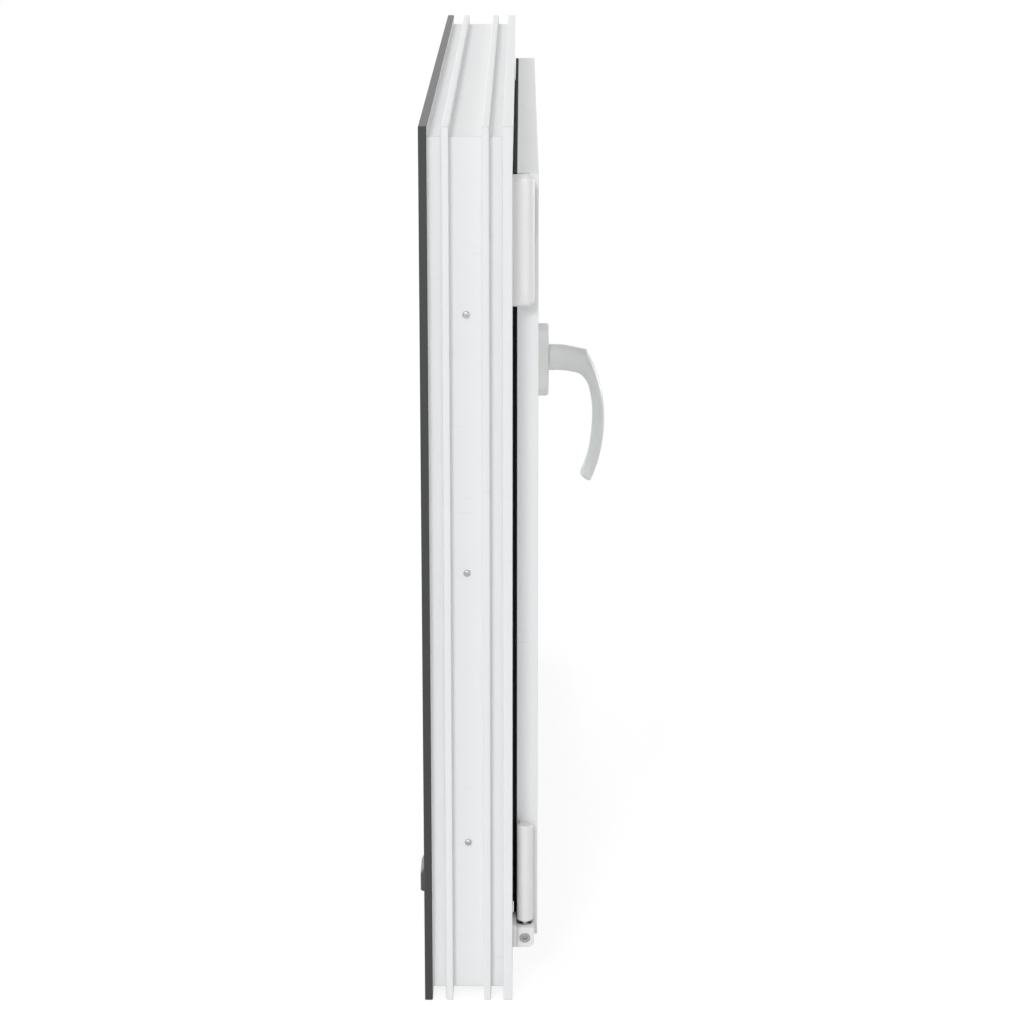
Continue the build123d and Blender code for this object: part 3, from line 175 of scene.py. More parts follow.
def feed(tree, node, inputs):
    """Fill a node's inputs by name or number: from a socket, from a node's first output, or with a value."""
    for name, source in inputs.items():
        if isinstance(source, bpy.types.Node):
            source = source.outputs[0]
        if isinstance(source, bpy.types.NodeSocket):
            tree.links.new(source, node.inputs[name])
        else:
            node.inputs[name].default_value = source


def add(tree, kind, inputs=None, **settings):
    """A new node in a tree, with its settings and its inputs."""
    node = tree.nodes.new(kind)
    for name, value in settings.items():
        setattr(node, name, value)
    feed(tree, node, inputs or {})
    return node


def node_group(name, kind, inputs, outputs):
    """An empty group of nodes: its tree, the named sockets it is given, and the node it ends in."""
    tree = bpy.data.node_groups.new(name, kind)
    for way, sockets in (("INPUT", inputs), ("OUTPUT", outputs)):
        for socket, what in sockets.items():
            tree.interface.new_socket(socket, in_out=way, socket_type=f"NodeSocket{what}")
    return tree, tree.nodes.new("NodeGroupInput").outputs, tree.nodes.new("NodeGroupOutput")


def tone_drift_group():
    """Slow and fine changes of tone, each from 0 to 1."""
    inputs = {"Place": "Vector", "Broad": "Float", "Fine": "Float"}
    outputs = {"Drift": "Float", "Speckle": "Float"}
    tree, given, leave = node_group("tone_drift", "ShaderNodeTree", inputs, outputs)
    for scale, output, detail in (("Broad", "Drift", 3.0), ("Fine", "Speckle", 2.0)):
        values = {"Vector": given["Place"], "Scale": given[scale], "Detail": detail}
        feed(tree, leave, {output: add(tree, "ShaderNodeTexNoise", values)})
    return tree


def drawn_lines_group():
    """Faint lines along Z, as a die leaves on an extrusion or a roll on a strip."""
    inputs = {"Place": "Vector", "Count": "Float"}
    tree, given, leave = node_group("drawn_lines", "ShaderNodeTree", inputs, {"Height": "Float"})
    stretch = add(tree, "ShaderNodeVectorMath", {0: given["Place"], 1: LINE_STRETCH}, operation="MULTIPLY")
    values = {"Vector": stretch, "Scale": given["Count"], "Detail": 4.0, "Roughness": 0.65}
    feed(tree, leave, {"Height": add(tree, "ShaderNodeTexNoise", values)})
    return tree


def scuffs_group():
    """Sparse hairline marks of handling in two directions, from 0 to 1."""
    inputs = {"Place": "Vector", "Scale": "Float", "Least": "Float"}
    tree, given, leave = node_group("scuffs", "ShaderNodeTree", inputs, {"Mask": "Float"})
    both = add(tree, "ShaderNodeMath", operation="MAXIMUM")
    for index, (turn, stretch) in enumerate(SCUFF_WAYS):
        run = add(tree, "ShaderNodeMapping", {"Vector": given["Place"], "Rotation": turn, "Scale": stretch})
        noise = add(tree, "ShaderNodeTexNoise", {"Vector": run, "Scale": given["Scale"], "Detail": 1.0})
        values = {"Value": noise, "From Min": given["Least"], "From Max": 0.86}
        feed(tree, both, {index: add(tree, "ShaderNodeMapRange", values)})
    feed(tree, leave, {"Mask": both})
    return tree


TONE_DRIFT = tone_drift_group()
DRAWN_LINES = drawn_lines_group()
SCUFFS = scuffs_group()


def finish(name):
    """A new material, its tree, its shader, and Object coordinates to place patterns by."""
    material = bpy.data.materials.new(name)
    material.use_nodes = True
    tree = material.node_tree
    place = add(tree, "ShaderNodeTexCoord").outputs["Object"]
    return material, tree, tree.nodes["Principled BSDF"], place


def effect(tree, group, place, **values):
    """The outputs of one of the shared effects in a material, with its own values."""
    return add(tree, "ShaderNodeGroup", {"Place": place, **values}, node_tree=group).outputs


def between(tree, factor, low, high):
    """A number that goes from low to high with a factor."""
    return add(tree, "ShaderNodeMapRange", {"Value": factor, "To Min": low, "To Max": high})


def socket_of(sockets, name, kind):
    """The socket with a name that carries one kind of value."""
    return [socket for socket in sockets if socket.name == name and socket.type == kind][0]


def blend_colour(tree, factor, first, second):
    """A colour that goes from the first to the second with a factor; either may be a socket."""
    mix = add(tree, "ShaderNodeMix", {"Factor": factor}, data_type="RGBA")
    for name, colour in (("A", first), ("B", second)):
        socket = socket_of(mix.inputs, name, "RGBA")
        if isinstance(colour, tuple):
            socket.default_value = (*colour, 1.0)
        else:
            tree.links.new(colour, socket)
    return socket_of(mix.outputs, "Result", "RGBA")


def surface(tree, shader, inputs, *bumps):
    """Fill the shader's inputs, and chain bumps into it; each is a height, a strength and a depth in mm."""
    normal = {}
    for height, strength, depth in bumps:
        values = {"Height": height, "Strength": strength, "Distance": depth * MM}
        normal = {"Normal": add(tree, "ShaderNodeBump", {**values, **normal})}
    feed(tree, shader, {**inputs, **normal})


def seam_shade_share(tree, most):
    """How much painted seam shade a point takes, from the piece's own mark."""
    mark = add(tree, "ShaderNodeAttribute", attribute_name="seam")
    return between(tree, mark.outputs["Fac"], 0.0, most)


def white_pvc(name, turn):
    """Glossy white window PVC with die lines along the bar and painted shade along each weld seam; turn
    brings the bar's run to Z.
    """
    material, tree, shader, place = finish(name)
    run = add(tree, "ShaderNodeMapping", {"Vector": place, "Rotation": turn}).outputs["Vector"]
    drift = effect(tree, TONE_DRIFT, run, Broad=6.0, Fine=900.0)
    lines = effect(tree, DRAWN_LINES, run, Count=900.0)
    marks = effect(tree, SCUFFS, run, Scale=55.0, Least=0.7)
    tone = blend_colour(tree, drift["Drift"], (0.832, 0.842, 0.85), (0.864, 0.872, 0.876))
    handled = blend_colour(tree, marks["Mask"], tone, (0.79, 0.795, 0.795))
    # painted shade: the weld seam's groove drawn darker than the PVC round it
    seam_shaded = blend_colour(tree, seam_shade_share(tree, 0.4), handled, (0.5, 0.51, 0.51))
    rough = between(tree, lines["Height"], 0.24, 0.42)
    surface(tree, shader, {"Base Color": seam_shaded, "Roughness": rough, "IOR": 1.53},
            (lines["Height"], 0.35, 0.03), (drift["Speckle"], 0.1, 0.02))
    return material


UPRIGHT = (0.0, 0.0, 0.0)
LEVEL = (0.0, math.radians(90.0), 0.0)
pvc_upright = white_pvc("white_pvc_upright", UPRIGHT)
pvc_level = white_pvc("white_pvc_level", LEVEL)
pvc_on = {side: pvc_upright if side in UPRIGHTS else pvc_level for side in SIDES}


def fit(piece, material, body, slot, *nodes):
    """Give a piece its finish and its body, and let it stand for its CAD nodes; the slot is not used."""
    piece.data.materials.clear()
    piece.data.materials.append(material)
    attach(piece, body)
    if nodes:
        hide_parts(*nodes)


frame_outline = [
    (CLAD, CLAD_BACK), (FRAME_FACE, CLAD_BACK), (FRAME_FACE, REBATE_STOP), (FRAME_ROOM_FACE, REBATE_STOP),
    (FRAME_ROOM_FACE, ROOM), (0.0, ROOM), (0.0, FLANGE_BACK, FLANGE_ROUND),
    (ANCHOR_GROOVE, FLANGE_BACK), (ANCHOR_GROOVE, RIB_EDGES[0]), (0.0, RIB_EDGES[0], RIB_ROUNDS[0]),
    (0.0, RIB_EDGES[1], RIB_ROUNDS[1]), (ANCHOR_GROOVE, RIB_EDGES[1]), (ANCHOR_GROOVE, RIB_EDGES[2]),
    (0.0, RIB_EDGES[2], RIB_ROUNDS[2]), (0.0, RIB_EDGES[3], RIB_ROUNDS[3]), (ANCHOR_GROOVE, RIB_EDGES[3]),
    (ANCHOR_GROOVE, OUTDOOR - CLAD_RETURN), (CLAD, OUTDOOR - CLAD_RETURN),
]
frame_loop = rounded(frame_outline, SOFT_EDGE)
FRAME_BARS = (("left", "frame_jamb_left"), ("right", "frame_jamb_right"),
              ("sill", "frame_sill"), ("head", "frame_head"))
for side, node in FRAME_BARS:
    profile = mitred_bar(f"{node}_profile", side, frame_loop, WELD_DEPTH, WELD_RUN)
    fit(profile, pvc_on[side], "frame", "white_pvc", node)

# Steel in the frame
# Box sections of galvanised steel slid into the middle chamber of each profile and screwed through its
# wall. They are out of sight, so the solids stay as they are and get the steel's spangled finish.
def galvanised():
    """Hot-dip galvanised steel: large soft crystals of different greys."""
    material, tree, shader, place = finish("galvanised_steel")
    spangle = add(tree, "ShaderNodeTexVoronoi", {"Vector": place, "Scale": 160.0}).outputs["Color"]
    grey = add(tree, "ShaderNodeSeparateColor", {"Color": spangle}).outputs
    colour = blend_colour(tree, grey["Red"], (0.42, 0.44, 0.46), (0.62, 0.64, 0.66))
    rough = between(tree, grey["Green"], 0.32, 0.5)
    surface(tree, shader, {"Base Color": colour, "Roughness": rough, "Metallic": 1.0})
    return material


def dress(node, material):
    """Give a CAD node's own shape a finish."""
    for material_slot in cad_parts[node].material_slots:
        material_slot.material = material


galvanised_steel = galvanised()
dress("frame_reinforcements", galvanised_steel)
dress("sash_reinforcements", galvanised_steel)

# Outdoor cladding of the frame
# Folded aluminium sheets, powder coated in anthracite, clipped over the outdoor face of each profile
# and hooked round its edge. The corners are mitred and butt with a hairline gap, whose shade is painted near
# black on the sheets' ends.
BEND = 0.8
HEM_ROUND = 1.8
MITRE_GAP = 0.25
MITRE_RUN = 0.6


def moulded_skin_group():
    """The pebbled skin of a powder coat or of moulded plastic, as a height from 0 to 1."""
    inputs = {"Place": "Vector", "Grain": "Float"}
    tree, given, leave = node_group("moulded_skin", "ShaderNodeTree", inputs, {"Height": "Float"})
    grain = {"Vector": given["Place"], "Scale": given["Grain"]}
    cells = add(tree, "ShaderNodeTexVoronoi", {**grain, "Smoothness": 0.6}, feature="SMOOTH_F1")
    noise = add(tree, "ShaderNodeTexNoise", {**grain, "Detail": 2.0})
    both = add(tree, "ShaderNodeMath", {0: cells, 1: noise}, operation="MULTIPLY")
    feed(tree, leave, {"Height": both})
    return tree


MOULDED_SKIN = moulded_skin_group()


def powder_coat():
    """Anthracite powder coat: a fine pebbled satin with a little drift in tone, and painted shade near black
    at the mitre gaps.
    """
    material, tree, shader, place = finish("anthracite_cladding")
    drift = effect(tree, TONE_DRIFT, place, Broad=9.0, Fine=2600.0)
    pebbles = effect(tree, MOULDED_SKIN, place, Grain=1400.0)
    marks = effect(tree, SCUFFS, place, Scale=38.0, Least=0.73)
    tone = blend_colour(tree, drift["Drift"], (0.029, 0.03, 0.031), (0.036, 0.037, 0.038))
    flecks = between(tree, drift["Speckle"], -0.6, 0.8)
    flecked = blend_colour(tree, flecks, tone, (0.048, 0.05, 0.051))
    handled = blend_colour(tree, marks["Mask"], flecked, (0.056, 0.058, 0.06))
    # painted shade: the hairline mitre gap drawn near black
    seam_shaded = blend_colour(tree, seam_shade_share(tree, 1.0), handled, (0.006, 0.006, 0.006))
    rough = between(tree, pebbles["Height"], 0.36, 0.56)
    surface(tree, shader, {"Base Color": seam_shaded, "Roughness": rough}, (pebbles["Height"], 0.45, 0.06))
    return material


anthracite = powder_coat()
frame_clad_outline = [
    (0.0, OUTDOOR, BEND), (FRAME_FACE + CLAD, OUTDOOR, BEND), (FRAME_FACE + CLAD, REBATE_STOP),
    (FRAME_FACE, REBATE_STOP), (FRAME_FACE, CLAD_BACK), (CLAD, CLAD_BACK),
    (CLAD, OUTDOOR - CLAD_RETURN), (0.0, OUTDOOR - CLAD_RETURN, HEM_ROUND),
]
frame_clad_loop = rounded(frame_clad_outline, SOFT_EDGE)
for side in SIDES:
    sheet = mitred_bar(f"frame_cladding_{side}_sheet", side, frame_clad_loop, MITRE_GAP, MITRE_RUN)
    fit(sheet, anthracite, "frame", "anthracite_cladding", f"frame_cladding_{side}")

# Reinforcement screws
# Zinc-plated pan-head screws with a cross recess, three in the groove of each jamb and of the sill. They
# hold the steel inside the profile.
PAN_R = 2.75
PAN_HEIGHT = 1.7
PAN_FLAT = 1.75
PAN_RIM = [(PAN_R, -0.1), (PAN_R, 0.45), (PAN_R - 0.1, 0.95), (PAN_R - 0.4, 1.35), (PAN_R - 0.75, 1.6)]
PAN_SEED = 3
RECESS_ARM = 1.5
RECESS_HALF = 0.42
RECESS_DEPTH = 1.3
RECESS_TAPER = (0.62, 0.8)
SCREW_SIDES = 40
JAMB_SCREWS = (132.0, 354.0, 557.0)
RAIL_SCREWS = (-250.0, 0.0, 250.0)
PAN_ROWS = {"left": JAMB_SCREWS, "right": JAMB_SCREWS, "sill": RAIL_SCREWS}
OUTWARD = {"left": (-1, 0, 0), "right": (1, 0, 0), "sill": (0, 0, -1), "head": (0, 0, 1)}


def circle(radius, sides):
    """Points round a circle."""
    turns = [2 * math.pi * step / sides for step in range(sides)]
    return [(radius * math.cos(turn), radius * math.sin(turn)) for turn in turns]


def cross_head(name, rim, flat, top):
    """A screw head with a cross recess, its axis on Z; rim is its outside as (radius, height) pairs."""
    shell = bmesh.new()
    rows = []
    for radius, height in rim + [(flat, top)]:
        ring = circle(radius, SCREW_SIDES)
        rows.append([shell.verts.new(Vector((x, y, height)) * MM) for x, y in ring])
    join_rows(shell, rows)
    arm, half = RECESS_ARM, RECESS_HALF
    cross = []
    for turn in range(4):
        for x, y in ((arm, -half), (arm, half), (half, half)):
            for _ in range(turn):
                x, y = -y, x
            cross.append((x, y))
    mouth = [shell.verts.new(Vector((x, y, top)) * MM) for x, y in cross]
    foot = [(x * RECESS_TAPER[0], y * RECESS_TAPER[1], top - RECESS_DEPTH) for x, y in cross]
    floor = [shell.verts.new(Vector(point) * MM) for point in foot]
    join_rows(shell, [mouth, floor])
    shell.faces.new(floor)
    edges = []
    for loop in (mouth, rows[-1]):
        edges += [shell.edges.get((loop[index - 1], loop[index])) for index in range(len(loop))]
    bmesh.ops.triangle_fill(shell, edges=edges, use_beauty=True)
    shell.faces.new(rows[0])
    bmesh.ops.recalc_face_normals(shell, faces=shell.faces)
    head = to_piece(name, shell)
    head.modifiers.clear()
    return head


def handled_finish(name, tones, mark, rough, broad, fine, scale, least, grain, bump, metallic=0.0):
    """A finish that drifts between two tones, with handling marks and a fine pebbled skin."""
    material, tree, shader, place = finish(name)
    drift = effect(tree, TONE_DRIFT, place, Broad=broad, Fine=fine)
    marks = effect(tree, SCUFFS, place, Scale=scale, Least=least)
    pebbles = effect(tree, MOULDED_SKIN, place, Grain=grain)
    tone = blend_colour(tree, drift["Drift"], *tones)
    colour = blend_colour(tree, marks["Mask"], tone, mark)
    shine = between(tree, drift["Speckle"], *rough)
    inputs = {"Base Color": colour, "Roughness": shine, "Metallic": metallic}
    surface(tree, shader, inputs, (pebbles["Height"], *bump))
    return material


def plated(name, tones, rough):
    """Zinc-plated steel: satin, with soft clouding and bright worn marks."""
    return handled_finish(name, tones, (0.86, 0.87, 0.88), rough, broad=38.0, fine=1500.0, scale=120.0,
                          least=0.66, grain=2200.0, bump=(0.2, 0.03), metallic=1.0)


plated_steel = plated("plated_steel", ((0.45, 0.47, 0.49), (0.6, 0.62, 0.64)), (0.26, 0.44))


def end_tree(tree, given, setting, leave):
    """End a geometry tree: its instances made real, in their finish."""
    real = add(tree, "GeometryNodeRealizeInstances", {"Geometry": setting})
    coat = add(tree, "GeometryNodeSetMaterial", {"Geometry": real, "Material": given["Finish"]})
    feed(tree, leave, {0: coat})


def screw_row_tree():
    """Sets a screw at every point, looking the way the point faces and turned at random."""
    inputs = {"Places": "Geometry", "Screw": "Object", "Size": "Float", "Seed": "Int", "Finish": "Material"}
    tree, given, leave = node_group("screw_row", "GeometryNodeTree", inputs, {"Screws": "Geometry"})
    screw = add(tree, "GeometryNodeObjectInfo", {"Object": given["Screw"]}).outputs["Geometry"]
    facing = add(tree, "GeometryNodeInputNamedAttribute", {"Name": "facing"}, data_type="FLOAT_VECTOR")
    aim = add(tree, "FunctionNodeAlignRotationToVector", {"Vector": facing}, axis="Z")
    spin = add(tree, "FunctionNodeRandomValue", {"Seed": given["Seed"]}, data_type="FLOAT")
    socket_of(spin.inputs, "Min", "VALUE").default_value = 0.0
    socket_of(spin.inputs, "Max", "VALUE").default_value = math.pi / 2
    angle = socket_of(spin.outputs, "Value", "VALUE")
    twist = add(tree, "FunctionNodeAxisAngleToRotation", {"Axis": (0.0, 0.0, 1.0), "Angle": angle})
    both = {"Rotation": aim, "Rotate By": twist}
    turn = add(tree, "FunctionNodeRotateRotation", both, rotation_space="LOCAL")
    placed = {"Points": given["Places"], "Instance": screw, "Rotation": turn, "Scale": given["Size"]}
    end_tree(tree, given, add(tree, "GeometryNodeInstanceOnPoints", placed), leave)
    return tree


SCREW_ROW = screw_row_tree()


def made_by(tree, name, base, inputs):
    """Run a geometry tree on an object's mesh and keep what it makes as a plain mesh object."""
    maker = bpy.data.objects.new(f"{name}_places", base)
    bpy.context.scene.collection.objects.link(maker)
    modifier = maker.modifiers.new("maker", "NODES")
    modifier.node_group = tree
    for item in tree.interface.items_tree:
        if item.in_out == "INPUT" and item.name in inputs:
            modifier[item.identifier] = inputs[item.name]
    graph = bpy.context.evaluated_depsgraph_get()
    mesh = bpy.data.meshes.new_from_object(maker.evaluated_get(graph))
    bpy.data.objects.remove(maker)
    mesh.name = name
    piece = bpy.data.objects.new(name, mesh)
    bpy.context.scene.collection.objects.link(piece)
    return piece


def screw_places(rows, across, y, ways):
    """Places for rows of screws, each a point and the way out of the surface."""
    return [(spot(side, across, y, along), ways[side]) for side, row in rows.items() for along in row]


def set_screws(name, places, head, seed, body, node):
    """Plated screws at their places, as one piece."""
    base = bpy.data.meshes.new(name)
    base.from_pydata([Vector(point) * MM for point, _ in places], [], [])
    facing = base.attributes.new("facing", "FLOAT_VECTOR", "POINT")
    for item, (_, out) in zip(facing.data, places):
        item.vector = out
    inputs = {"Screw": head, "Size": 1.0, "Seed": seed, "Finish": plated_steel}
    fit(made_by(SCREW_ROW, name, base, inputs), plated_steel, body, "plated_steel", node)


pan_head = cross_head("pan_head", PAN_RIM, PAN_FLAT, PAN_HEIGHT)
pan_places = screw_places(PAN_ROWS, ANCHOR_GROOVE, 0.0, OUTWARD)
set_screws("groove_screws", pan_places, pan_head, PAN_SEED, "frame", "reinforcement_screws")
bpy.data.objects.remove(pan_head)

# Frame gasket
# A black rubber seal pushed into a groove of the rebate's stop. Its soft lip meets the sash's outdoor face.
SEAL_EDGE = 0.4
SEAL_STEPS = 3
CORNER_WAYS = {"left_head": ("left", "head"), "head_right": ("right", "head"),
               "right_sill": ("right", "sill"), "sill_left": ("left", "sill")}


def corner_ring(corner, loop):
    """The loop where two sides meet, on their mitre."""
    upright, level = CORNER_WAYS[corner]
    ring = []
    for point in loop:
        x = spot(upright, point.x, point.y, 0.0)[0]
        z = spot(level, point.x, point.y, 0.0)[2]
        ring.append((x, point.y, z))
    return ring


def seal_ring(name, loop):
    """A seal that runs all round, with mitred corners."""
    return skin(name, [corner_ring(corner, loop) for corner in CORNER_WAYS], closed=True)


def rubber():
    """Black sealing rubber: matt, with a faint grey bloom; the spacer's slits also take it as painted shade.
    """
    material, tree, shader, place = finish("black_gasket")
    drift = effect(tree, TONE_DRIFT, place, Broad=22.0, Fine=1800.0)
    pebbles = effect(tree, MOULDED_SKIN, place, Grain=1900.0)
    colour = blend_colour(tree, drift["Drift"], (0.003, 0.003, 0.003), (0.009, 0.009, 0.009))
    rough = between(tree, drift["Speckle"], 0.55, 0.75)
    inputs = {"Base Color": colour, "Roughness": rough, "Specular IOR Level": 0.08}
    surface(tree, shader, inputs, (pebbles["Height"], 0.3, 0.04))
    return material


black_rubber_and_slit_shade = rubber()
frame_seal_outline = [
    (55.0, REBATE_STOP), (55.0, 14.0), (57.8, 13.4), (58.3, 11.6), (60.6, 11.45), (63.7, 12.3), (63.8, 13.0),
    (61.4, 13.6), (62.0, REBATE_STOP),
]
frame_seal = seal_ring("frame_seal", rounded(frame_seal_outline, SEAL_EDGE, SEAL_STEPS))
fit(frame_seal, black_rubber_and_slit_shade, "frame", "black_gasket", "frame_gasket")

# Drain caps
# Dark plastic hoods clipped over the drain slots in the outdoor face of the sill, open below.
DRAIN_X = 253.0
DRAIN_HALF = 20.0
DRAIN_Z = 20.5
DRAIN_TOP = 41.0
DRAIN_FRONT = OUTDOOR + 9.5
DRAIN_SHOULDER = 36.0
DRAIN_LEDGE = OUTDOOR + 6.8
DRAIN_WALL = 1.6
DRAIN_ROUND = 3.2
DRAIN_STEPS = 6
FOOT_ROUND = 0.7
SHOULDER_ROUND = 3.0
LEDGE_ROUND = 1.6
DRAIN_EDGE = 0.1
CUT_PAST = 1.0
MERGE = 2e-6
MARK_TONE = 0.93


def moulded_plastic(name, tones, rough, grain):
    """Moulded plastic with an even fine texture, a little darker where it is marked."""
    mark = tuple(part * MARK_TONE for part in tones[0])
    return handled_finish(name, tones, mark, rough, broad=30.0, fine=1500.0, scale=90.0, least=0.7,
                          grain=grain, bump=(0.22, 0.05))


DRAIN_TONES = ((0.055, 0.057, 0.059), (0.075, 0.077, 0.079))
drain_plastic = moulded_plastic("drain_plastic", DRAIN_TONES, (0.3, 0.44), 1300.0)


def cut(piece, cutters):
    """Take the cutters out of a piece, and leave it a plain mesh."""
    piece.modifiers.clear()
    for cutter in cutters:
        take = piece.modifiers.new("cut", "BOOLEAN")
        take.operation = "DIFFERENCE"
        take.solver = "EXACT"
        take.object = cutter
    graph = bpy.context.evaluated_depsgraph_get()
    shell = bmesh.new()
    mesh = bpy.data.meshes.new_from_object(piece.evaluated_get(graph))
    shell.from_mesh(mesh)
    name = piece.name
    for spent in [piece, *cutters]:
        bpy.data.objects.remove(spent)
    bmesh.ops.remove_doubles(shell, verts=shell.verts, dist=MERGE)
    return to_piece(name, shell)


def round_end(size, steps):
    """A quarter round, step by step from its tip: how far along, and how far drawn in."""
    turns = [math.pi / 2 * step / steps for step in range(steps + 1)]
    return [(size * (1 - math.cos(turn)), size * (1 - math.sin(turn))) for turn in turns]


def hood_ring(loop, x, shrink):
    """A section of the hood at an x, drawn in towards its back and its foot."""
    deep = 1 - shrink / (DRAIN_FRONT - OUTDOOR)
    tall = 1 - shrink / (DRAIN_TOP - DRAIN_Z)
    return [(x, OUTDOOR + (p[0] - OUTDOOR) * deep, DRAIN_Z + (p[1] - DRAIN_Z) * tall) for p in loop]


drain_outline = [
    (OUTDOOR, DRAIN_Z), (DRAIN_FRONT, DRAIN_Z, FOOT_ROUND), (DRAIN_FRONT, DRAIN_SHOULDER, SHOULDER_ROUND),
    (DRAIN_LEDGE, DRAIN_TOP, LEDGE_ROUND), (OUTDOOR, DRAIN_TOP),
]
drain_loop = rounded(drain_outline, DRAIN_EDGE, DRAIN_STEPS)
hollow_outline = [
    (OUTDOOR - CUT_PAST, DRAIN_Z - CUT_PAST), (DRAIN_FRONT - DRAIN_WALL, DRAIN_Z - CUT_PAST),
    (DRAIN_FRONT - DRAIN_WALL, DRAIN_SHOULDER), (DRAIN_LEDGE - DRAIN_WALL, DRAIN_TOP - DRAIN_WALL),
    (OUTDOOR - CUT_PAST, DRAIN_TOP - DRAIN_WALL),
]
drain_ends = round_end(DRAIN_ROUND, DRAIN_STEPS)
drain_half_inside = DRAIN_HALF - DRAIN_WALL
for middle, label, nodes in ((-DRAIN_X, "left", ("drain_caps",)), (DRAIN_X, "right", ())):
    rings = [hood_ring(drain_loop, middle - DRAIN_HALF + along, inset) for along, inset in drain_ends]
    rings += [hood_ring(drain_loop, middle + DRAIN_HALF - along, inset) for along, inset in drain_ends[::-1]]
    hood = skin(f"drain_hood_{label}", rings)
    ends_inside = (middle - drain_half_inside, middle + drain_half_inside)
    hollow = skin("hood_hollow", [hood_ring(hollow_outline, x, 0.0) for x in ends_inside])
    fit(cut(hood, [hollow]), drain_plastic, "frame", "drain_plastic", *nodes)

# Keeps on the frame
# Zinc castings screwed to the frame's rebate: three that the lock cams run behind, and one in the sill
# that holds the sash's foot while it tilts. Their edges are broken as a casting's are.
KEEP_EDGE = 0.3
FLAT_TO = math.radians(1.0)


def show_node(name, node, edge, material, body, slot):
    """Let a copy of a CAD node's shape stand for it, with its sharp edges broken by a width."""
    shell = bmesh.new()
    shell.from_mesh(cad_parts[node].data)
    bmesh.ops.remove_doubles(shell, verts=shell.verts, dist=MERGE)
    bmesh.ops.dissolve_limit(shell, angle_limit=FLAT_TO, verts=shell.verts, edges=shell.edges)
    fit(to_piece(name, shell, edge), material, body, slot, node)


zinc_casting = plated("zinc_casting", ((0.44, 0.45, 0.47), (0.58, 0.59, 0.6)), (0.34, 0.52))
for node in ("lock_keeps", "tilt_keep"):
    show_node(f"{node}_casting", node, KEEP_EDGE, zinc_casting, "frame", "zinc_casting")

# Screws of the frame's hardware
# Zinc-plated countersunk screws with a cross recess, flush in the keeps, the pivot rest and the stay bearing.
CSK_R = 3.6
CSK_HEAD = 1.8
CSK_NECK = 2.0
CSK_LIP = 0.12
FRAME_SCREW_SEED = 5
KEEP_FACE = 50.0
GROOVE_Y = -25.5
HINGE_X = -419.5
REST_SCREW_X = -435.5
HINGE_PLATE_FACE = -38.0
KEEP_SCREWS = {"right": (182.6, 244.5, 462.6, 524.5), "head": (175.5, 237.4), "sill": (194.1, 256.0)}
REST_SCREWS = (46.5, 55.0)
BEARING_SCREWS = (567.5, 579.5)
INWARD = {"left": (1, 0, 0), "right": (-1, 0, 0), "sill": (0, 0, 1), "head": (0, 0, -1)}
TO_ROOM = (0, -1, 0)
csk_rim = [(CSK_NECK, -CSK_HEAD), (CSK_R - CSK_LIP, -CSK_LIP), (CSK_R, -CSK_LIP / 2)]
csk_head = cross_head("countersunk_head", csk_rim, CSK_R - CSK_LIP, 0.0)
frame_places = screw_places(KEEP_SCREWS, KEEP_FACE, GROOVE_Y, INWARD)
for x, heights in ((REST_SCREW_X, REST_SCREWS), (HINGE_X, BEARING_SCREWS)):
    frame_places += [((x, HINGE_PLATE_FACE, height), TO_ROOM) for height in heights]
set_screws("frame_screw_heads", frame_places, csk_head, FRAME_SCREW_SEED, "frame", "frame_hardware_screws")

# Pivot rest
# A white lacquered casting screwed to the foot of the jamb. It carries the sash's weight in a turning cup,
# and a hexagon socket screw in its side sets the sash sideways.
REST_EDGE = 0.5
SCREW_EDGE = 0.35
CUP_EDGE = 0.25
hinge_white = moulded_plastic("hinge_white", ((0.83, 0.83, 0.825), (0.86, 0.86, 0.855)), (0.26, 0.4), 1500.0)
burnished_steel = plated("burnished_steel", ((0.3, 0.31, 0.32), (0.4, 0.41, 0.42)), (0.3, 0.45))
show_node("pivot_rest_casting", "pivot_rest", REST_EDGE, hinge_white, "frame", "hinge_white")
show_node("pivot_set_screw", "pivot_adjusting_screw", SCREW_EDGE, burnished_steel, "frame", "plated_steel")
show_node("pivot_cup_turning", "pivot_cup", CUP_EDGE, plated_steel, "pivot", "plated_steel")

# Stay bearing
# A white lacquered bearing at the head of the jamb, whose pin carries the stay arm. A moulded cover clips
# over it, round in front and at its ends, open towards the sash where the arm swings.
BEARING_EDGE = 0.4
PIN_EDGE = 0.3
ARM_EDGE = 0.4
HINGE_Y = -45.0
COVER_Z = (559.5, 659.7)
COVER_R = 6.9
COVER_WALL = 1.2
COVER_END = 5.0
COVER_CUT_Z = (608.0, 647.0)
COVER_CUT_FRONT = 2.2
COVER_CUT_BACK = -0.5
CUT_WIDE = 20.0
ARC_STEPS = 28
END_STEPS = 7
show_node("stay_bearing_body", "stay_bearing", BEARING_EDGE, hinge_white, "frame", "hinge_white")
show_node("stay_bearing_axle", "stay_bearing_pin", PIN_EDGE, plated_steel, "frame", "plated_steel")


def half_circle(radius, start):
    """Points round half a circle, from a start angle to its other end."""
    turns = [start + math.pi * step / ARC_STEPS for step in range(ARC_STEPS + 1)]
    return [(radius * math.cos(turn), radius * math.sin(turn)) for turn in turns]


def d_ring(radius, back, z):
    """A D-shaped ring round the hinge line: a round front, straight sides and a flat back."""
    front = [(HINGE_X + x, HINGE_Y - y, z) for x, y in half_circle(radius, 0.0)]
    return [(HINGE_X + radius, back, z), *front, (HINGE_X - radius, back, z)]


def round_ended(make_ring, radius, low, high, end):
    """Rings from low to high whose radius draws in round both ends."""
    steps = round_end(end, END_STEPS)
    rings = [make_ring(radius - inset, low + along) for along, inset in steps]
    return rings + [make_ring(radius - inset, high - along) for along, inset in steps[::-1]]


def box_shell(name, corner, opposite):
    """A plain block used only to cut another piece."""
    rings = []
    for z in (corner[2], opposite[2]):
        (x0, y0), (x1, y1) = corner[:2], opposite[:2]
        rings.append([(x0, y0, z), (x1, y0, z), (x1, y1, z), (x0, y1, z)])
    return skin(name, rings)


